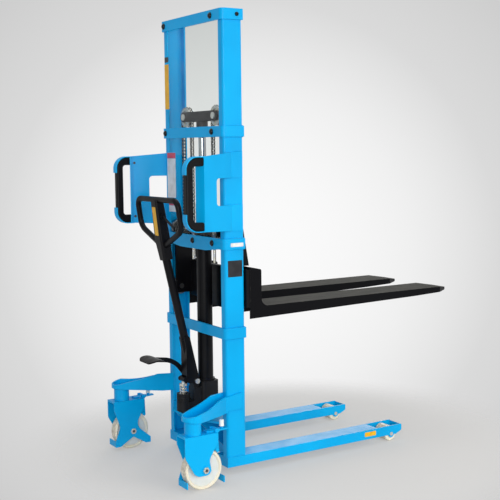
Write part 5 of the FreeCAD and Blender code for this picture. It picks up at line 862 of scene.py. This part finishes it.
# %% Weld bead tree
RIPPLE_STEP_MM = 3.0
LEAST_RIPPLE, MOST_RIPPLE = 0.82, 1.12
RIPPLE_FLATNESS = 0.62
RIPPLE_SEED = 11


def weld_bead_tree(finish):
    tree, given = new_tree("weld_bead_" + finish.name, {"Ripple Step": RIPPLE_STEP_MM, "Bead Radius": 3.2},
                           {"Finish": finish})
    seam = add(tree, "GeometryNodeMeshToCurve", {0: given["Geometry"]})
    steps = add(tree, "GeometryNodeCurveToPoints", {"Curve": seam, "Length": given["Ripple Step"]},
                mode="LENGTH")
    drop = add(tree, "GeometryNodeMeshUVSphere", {"Segments": 8, "Rings": 5, "Radius": given["Bead Radius"]})
    smooth = add(tree, "GeometryNodeSetShadeSmooth", {0: drop, "Shade Smooth": True})
    uneven = add(tree, "FunctionNodeRandomValue", {"Min": LEAST_RIPPLE, "Max": MOST_RIPPLE,
                                                   "Seed": RIPPLE_SEED}, data_type="FLOAT")
    scale = add(tree, "ShaderNodeCombineXYZ", {"X": uneven, "Y": uneven, "Z": RIPPLE_FLATNESS})
    placed = add(tree, "GeometryNodeInstanceOnPoints", {
        "Points": steps, "Instance": smooth, "Rotation": steps.outputs["Rotation"], "Scale": scale})
    close_tree(tree, given, [(placed, "Finish")])
    return tree


ENAMEL_BEAD = weld_bead_tree(ENAMEL)
SATIN_BEAD = weld_bead_tree(SATIN)
print("ripples in 100 mm of weld:", round(100 / RIPPLE_STEP_MM))

# %% [markdown]
# On the mast a welder can reach the ends of the straps on the columns, the edges of the bracket plates,
# the feet of the columns and the outriggers' bosses. The places of the seams come from the boxes of the
# nodes that they join, so they can't drift off them.

# %% Weld beads on the mast
STRAP_TOPS_MM = {"top": 2080, "middle": 1573, "anchor": 1074, "lower": 672}
STRAP_HEIGHT_MM = 48
WELDED_STRAPS = ("middle", "anchor", "lower")
STRAP_SEAM_ENDS_MM = (14, 2)
FOOT_SEAM_ENDS_MM = (10, 8)
BRACKET_STRAPS_MM = ((1112, 1224), (1351, 1460))
BRACKET_BEAD_MM = 34
BOSS_RADIUS_MM = 37.0
BOSS_LENGTH_MM = 58.4
BOSS_FROM_PIN_END_MM = 17
BOSS_SEAM_STEP_DEG = 10


def mast_seams():
    """Lines of the welds on the mast, each a list of points."""
    seams = []
    for side, sign in SIDES:
        low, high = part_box("column_" + side)
        web = high.y if sign > 0 else low.y
        levels = [(top_mm - drop_mm) * MM for top_mm in (STRAP_TOPS_MM[strap] for strap in WELDED_STRAPS)
                  for drop_mm in (STRAP_HEIGHT_MM, 0)]
        runs = [(level, STRAP_SEAM_ENDS_MM) for level in levels] + [(low.z, FOOT_SEAM_ENDS_MM)]
        seams += [[(low.x + rear_mm * MM, web, level), (high.x - front_mm * MM, web, level)]
                  for level, (rear_mm, front_mm) in runs]
        plate_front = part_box("handle_bracket_" + side)[1].x
        for foot_mm, top_mm in BRACKET_STRAPS_MM:
            corner = (plate_front, web, top_mm * MM)
            seams.append([(plate_front, web, foot_mm * MM), corner])
            seams.append([corner, (plate_front - BRACKET_BEAD_MM * MM, web, top_mm * MM)])
        boss = Vector((middle("kingpins").x, sign * (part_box("kingpins")[1].y - BOSS_FROM_PIN_END_MM * MM),
                       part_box("outrigger_" + side)[0].z + BOSS_LENGTH_MM * MM))
        seams.append([boss + Vector((math.cos(turn), math.sin(turn), 0)) * BOSS_RADIUS_MM * MM
                      for turn in (math.radians(angle) for angle in range(0, 361, BOSS_SEAM_STEP_DEG))])
    return seams


mast_beads = grow("mast_weld_beads", ENAMEL_BEAD, lines("mast_seams", mast_seams()), "mast")

# %% [markdown]
# On the carriage the seams run along the tops of the side plates and down both edges of each fork's
# shank, where it meets the cross plate.

# %% Weld beads on the carriage
SIDE_PLATE_Y_MM = 226.0
SIDE_SEAM_MM = (46, 8)
SIDE_SEAM_LEVEL_MM = 932.0
PLATE_FACE_MM = 123.0
SHANK_SEAM_FOOT_MM = 762.0
SHANK_SEAM_DROP_MM = 16
mast_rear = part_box("column_right")[0].x


def carriage_seams():
    """Lines of the welds on the carriage, each a list of points."""
    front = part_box("carriage_frame")[1].x
    face = mast_rear + PLATE_FACE_MM * MM
    seams = []
    for side, sign in SIDES:
        seams.append([(front - back_mm * MM, sign * SIDE_PLATE_Y_MM * MM, SIDE_SEAM_LEVEL_MM * MM)
                      for back_mm in SIDE_SEAM_MM])
        low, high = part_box("fork_" + side)
        seams += [[(face, edge, high.z - SHANK_SEAM_DROP_MM * MM), (face, edge, SHANK_SEAM_FOOT_MM * MM)]
                  for edge in (low.y, high.y)]
    return seams


carriage_beads = grow("carriage_weld_beads", SATIN_BEAD, lines("carriage_seams", carriage_seams()),
                      "carriage")

# %% [markdown]
# Small hardware is what makes bolts read as bolts. Screws and locknuts are both turned about one axis, so
# two helpers serve them: one stands a drum on the origin, and one puts finished shapes at every point of
# a carrier and turns them to face a given way.

# %% Helpers for screws and nuts


def standing_drum(tree, sides, radius, height, rings=1):
    """Drum along Z that stands on the origin."""
    drum = add(tree, "GeometryNodeMeshCylinder", {"Vertices": sides, "Side Segments": rings, "Radius": radius,
                                                  "Depth": height})
    half = add(tree, "ShaderNodeMath", {0: height, 1: 0.5}, operation="MULTIPLY")
    return add(tree, "GeometryNodeTransform", {"Geometry": drum,
                                               "Translation": add(tree, "ShaderNodeCombineXYZ", {"Z": half})})


def face_out(tree, given, shapes):
    """Put each shape at every point of the carrier, turned to the Facing input, and close the tree."""
    turn = add(tree, "FunctionNodeAlignRotationToVector", {"Vector": given["Facing"]}, axis="Z")
    seats = add(tree, "GeometryNodeMeshToPoints", {0: given["Geometry"]}, mode="VERTICES")
    close_tree(tree, given, [(add(tree, "GeometryNodeInstanceOnPoints", {
        "Points": seats, "Instance": shape, "Rotation": turn}), finish) for shape, finish in shapes])


print("helpers for turned hardware: standing_drum, face_out")

# %% [markdown]
# The straps are held by bolts with a glossy domed head, a hexagon socket in it and a thin washer under
# it. The dome could be half a ball, but a real one is flatter: it is a drum whose rings draw in towards
# its top along a circle's curve, so it stays one closed mesh.

# %% Dome bolt tree
WASHER_WALL_MM = 1.6
HEAD_TOP_SHARE = 0.95


def screw_face_tree():
    tree, given = new_tree("screw_faces", {
        "Washer Radius": 14.2, "Washer Wall": WASHER_WALL_MM, "Head Radius": 12.8, "Head Height": 8.8,
        "Socket Radius": 3.4, "Socket Depth": 0.8},
        {"Facing": -X, "Washer Finish": OXIDE, "Head Finish": BOLT_LACQUER, "Socket Finish": OXIDE})
    washer = add(tree, "GeometryNodeMeshCylinder", {"Vertices": 28, "Radius": given["Washer Radius"],
                                                    "Depth": given["Washer Wall"]})
    drum = standing_drum(tree, sides=24, radius=given["Head Radius"], height=given["Head Height"], rings=8)
    point = add(tree, "GeometryNodeInputPosition")
    level = add(tree, "ShaderNodeMath", {0: add(tree, "ShaderNodeSeparateXYZ", {0: point}).outputs["Z"],
                                         1: given["Head Height"]}, operation="DIVIDE")
    level = add(tree, "ShaderNodeMath", {0: level, 1: HEAD_TOP_SHARE}, operation="MULTIPLY")
    square = add(tree, "ShaderNodeMath", {0: level, 1: 2.0}, operation="POWER")
    width = add(tree, "ShaderNodeMath", {0: 1.0, 1: square}, operation="SUBTRACT")
    width = add(tree, "ShaderNodeMath", {0: width, 1: 0.5}, operation="POWER")
    scale = add(tree, "ShaderNodeCombineXYZ", {"X": width, "Y": width, "Z": 1.0})
    drawn = add(tree, "ShaderNodeVectorMath", {0: point, 1: scale}, operation="MULTIPLY")
    dome = add(tree, "GeometryNodeSetPosition", {"Geometry": drum, "Position": drawn})
    dome = add(tree, "GeometryNodeSetShadeSmooth", {0: dome, "Shade Smooth": True})
    socket = add(tree, "GeometryNodeMeshCylinder", {"Vertices": 6, "Radius": given["Socket Radius"],
                                                    "Depth": given["Socket Depth"]})
    lift = add(tree, "ShaderNodeCombineXYZ", {"Z": given["Head Height"]})
    socket = add(tree, "GeometryNodeTransform", {"Geometry": socket, "Translation": lift})
    face_out(tree, given, [(washer, "Washer Finish"), (dome, "Head Finish"), (socket, "Socket Finish")])
    return tree


SCREW_TREE = screw_face_tree()
print("dome bolt tree nodes:", len(SCREW_TREE.nodes))

# %% [markdown]
# Seven of them show from behind: two on each of the two upper straps, where they also hold the guard,
# and three on the deep strap that carries the chain anchors. Each sits at half of its strap's height.

# %% Dome bolts on the straps
REAR_SCREWS_Y_MM = {"top": (-191, 255), "middle": (-191, 255), "anchor": (-182, 0, 182)}

seat_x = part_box("mast_bands")[0].x - WASHER_WALL_MM / 2 * MM
seats = [[(seat_x, y_mm * MM, (STRAP_TOPS_MM[strap] - STRAP_HEIGHT_MM / 2) * MM)]
         for strap, places_mm in REAR_SCREWS_Y_MM.items() for y_mm in places_mm]
rear_screws = grow("rear_screw_faces", SCREW_TREE, lines("rear_seats", seats), "mast")

# %% [markdown]
# A locknut closes each end of a caster's axle: a hexagon with the end of the thread standing out of a
# plastic ring, on a washer sprayed with the fork. All four are drums about one axis, so one loop makes
# them from a short table.

# %% Caster locknuts
NUT_DRUMS = ((6, "Nut Radius", "Nut Height", "Nut Finish"),
             (28, "Collar Radius", "Collar Height", "Nut Finish"),
             (32, "Washer Radius", "Washer Wall", "Washer Finish"),
             (20, "Thread Radius", "Thread Proud", "Thread Finish"))
AXLE_HEAD_MM = 8.0


def locknut_tree():
    tree, given = new_tree("locknut", {
        "Nut Radius": 15.2, "Nut Height": 7.4, "Collar Radius": 13.1, "Collar Height": 8.3,
        "Washer Radius": 18, "Washer Wall": 2, "Thread Radius": 7, "Thread Proud": 8.7},
        {"Facing": -Y, "Nut Finish": ZINC, "Washer Finish": ENAMEL, "Thread Finish": PHOSPHATE})
    face_out(tree, given, [(standing_drum(tree, sides, given[radius], given[height]), finish)
                           for sides, radius, height, finish in NUT_DRUMS])
    return tree


NUT_TREE = locknut_tree()
for side, _ in SIDES:
    low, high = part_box("caster_axle_" + side)
    for end, way, tip in (("inner", -1.0, low.y), ("outer", 1.0, high.y)):
        seat = ((low.x + high.x) / 2, tip - way * AXLE_HEAD_MM * MM, (low.z + high.z) / 2)
        nut = grow("caster_locknut_%s_%s" % (end, side), NUT_TREE, lines("nut_seat", [[seat]]),
                   "caster_" + side, facing=(0.0, way, 0.0))

# %% [markdown]
# The knob on each brake pedal is a white cap pushed over a steel stud. It is round, so it is turned as on
# a lathe: an outline spun about its own axis, with doubles merged and normals made to face out.

# %% Brake knob caps
KNOB_CAP_SHARES = [(0.0, 1.06), (0.55, 1.055), (0.85, 1.04), (1.0, 1.0), (1.04, 0.93), (1.04, 0.2),
                   (1.12, 0.12), (1.12, 0.0), (0.0, 0.0)]
KNOB_RADIUS_MM = 10.0
KNOB_HEIGHT_MM = 27.0
KNOB_FROM_AXLE_MM = 104.0
SPIN_STEPS = 32
MERGE_MM = 0.01


def keep_form(name, form, material):
    """Keep a bmesh as an object of one material."""
    mesh = bpy.data.meshes.new(name)
    form.to_mesh(mesh)
    form.free()
    mesh.materials.append(material)
    piece = bpy.data.objects.new(name, mesh)
    scene.collection.objects.link(piece)
    return piece


def turned_piece(name, outline, base, material):
    """Spin an outline of (radius, height) about the upright axis through base."""
    form = bmesh.new()
    ring = [form.verts.new(base + Vector((radius, 0, height))) for radius, height in outline]
    edges = [form.edges.new(pair) for pair in zip(ring, ring[1:])]
    bmesh.ops.spin(form, geom=ring + edges, cent=base, axis=Z, angle=math.tau, steps=SPIN_STEPS,
                   use_duplicate=False)
    bmesh.ops.remove_doubles(form, verts=form.verts, dist=MERGE_MM * MM)
    bmesh.ops.recalc_face_normals(form, faces=form.faces)
    for face in form.faces:
        face.smooth = True
    return keep_form(name, form, material)


for side, _ in SIDES:
    axle = middle("caster_axle_" + side)
    base = Vector((axle.x + KNOB_FROM_AXLE_MM * MM, axle.y,
                   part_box("brake_pedal_" + side)[1].z - KNOB_HEIGHT_MM * MM))
    outline = [(KNOB_RADIUS_MM * wide * MM, KNOB_HEIGHT_MM * tall * MM) for wide, tall in KNOB_CAP_SHARES]
    cap = turned_piece("brake_knob_cap_" + side, outline, base, CAP_WHITE)
    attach(cap, "brake_" + side)
print("last knob cap stands at", [round(value, 3) for value in base])

# %% [markdown]
# Plain coloured strips and plates of vinyl are stuck on the mast, the right leg and the pump handle. They
# could be patches in the enamel's own pattern, but a thin slab with rounded corners, just proud of the
# enamel, has an edge that catches the light. This cell makes the shape, and the next puts all ten in place.

# %% Shape of a sticker
STICKER_WALL_MM = 0.35
STICKER_CORNER_MM = 3.0
CORNER_STEPS = 4


def sticker(name, centre, face, size_mm, vinyl, body):
    """Rounded slab on a face. Its two directions lie in the face, and their cross product points out."""
    across, up = face
    half_width, half_height = [length / 2 - STICKER_CORNER_MM for length in size_mm]
    rim = []
    for quarter, (along, rise) in enumerate(((1, 1), (-1, 1), (-1, -1), (1, -1))):
        for step in range(CORNER_STEPS + 1):
            turn = math.radians(90 * (quarter + step / CORNER_STEPS))
            rim.append(((along * half_width + math.cos(turn) * STICKER_CORNER_MM) * MM,
                        (rise * half_height + math.sin(turn) * STICKER_CORNER_MM) * MM))
    form = bmesh.new()
    back = [form.verts.new(Vector(centre) + across * aside + up * high) for aside, high in rim]
    front = [form.verts.new(vertex.co + across.cross(up) * STICKER_WALL_MM * MM) for vertex in back]
    form.faces.new(front)
    form.faces.new(back[::-1])
    for index, vertex in enumerate(back):
        following = (index + 1) % len(back)
        form.faces.new((vertex, back[following], front[following], front[index]))
    piece = keep_form(name, form, vinyl)
    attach(piece, body)


print("a sticker has", 4 * (CORNER_STEPS + 1), "points round its rim")

# %% [markdown]
# Most stickers sit on an upright face, so their place is one point on it. The strip on the pump handle
# lies along the spine, which leans back with the handle: its two ends are measured from the foot of
# the handle's loop and turned by the same lean.

# %% Plain stickers
LOOP_FOOT_MM = (-158.7, 1014.3)
LOOP_LEAN_DEG = 8.1
SPINE_FACE_MM = ((-25.5, 72.0), (-21.9, 203.0))
SPINE_STRIP_WIDTH_MM = 34.0
LEG_STICKER_FROM_REAR_MM = 822

lean = Matrix.Rotation(math.radians(-LOOP_LEAN_DEG), 3, "Y")
loop_foot = Vector((mast_rear + LOOP_FOOT_MM[0] * MM, 0, LOOP_FOOT_MM[1] * MM))
strip_low, strip_high = [loop_foot + lean @ Vector((depth * MM, 0, height * MM))
                         for depth, height in SPINE_FACE_MM]
strip_run = strip_high - strip_low
web, strap_side, leg_side = [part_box(node)[0].y for node in ("column_right", "mast_bands", "leg_right")]
RIGHT_FACE, REAR_FACE, SPINE_FACE = (X, Z), (-Y, Z), (-Y, strip_run.normalized())
STICKERS = (
    ("side_plate_sticker", (mast_rear + 51 * MM, web, 939 * MM), RIGHT_FACE, (74, 74), BLACK_VINYL, "mast"),
    ("strap_sticker", (mast_rear + 57 * MM, strap_side, 1046.5 * MM), RIGHT_FACE, (66, 17), WHITE_VINYL,
     "mast"),
    ("flange_strip", (mast_rear, 250.5 * MM, 1771 * MM), REAR_FACE, (42, 212), YELLOW_VINYL, "mast"),
    ("flange_sheet_sticker", (mast_rear, 218 * MM, 1335 * MM), REAR_FACE, (84, 188), WHITE_VINYL, "mast"),
    ("flange_sheet_head", (mast_rear, 218 * MM, 1443 * MM), REAR_FACE, (84, 26), RED_VINYL, "mast"),
    ("flange_strip_head", (mast_rear, 250.5 * MM, 1899 * MM), REAR_FACE, (38, 25), BLACK_VINYL, "mast"),
    ("flange_note", (mast_rear, 214 * MM, 1188 * MM), REAR_FACE, (70, 30), WHITE_VINYL, "mast"),
    ("flange_note_head", (mast_rear, 214 * MM, 1209 * MM), REAR_FACE, (70, 10), RED_VINYL, "mast"),
    ("spine_strip", (strip_low + strip_high) / 2, SPINE_FACE, (SPINE_STRIP_WIDTH_MM, strip_run.length / MM),
     YELLOW_VINYL, "pump_rocker"),
    ("leg_sticker", (mast_rear + LEG_STICKER_FROM_REAR_MM * MM, leg_side, 58 * MM), RIGHT_FACE, (70, 22),
     YELLOW_VINYL, "mast"),
)
for row in STICKERS:
    sticker(*row)
print("stickers:", len(STICKERS))

# %% [markdown]
# The script ends by measuring the box of the dressed object.

# %% Measure and finish
low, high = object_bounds()
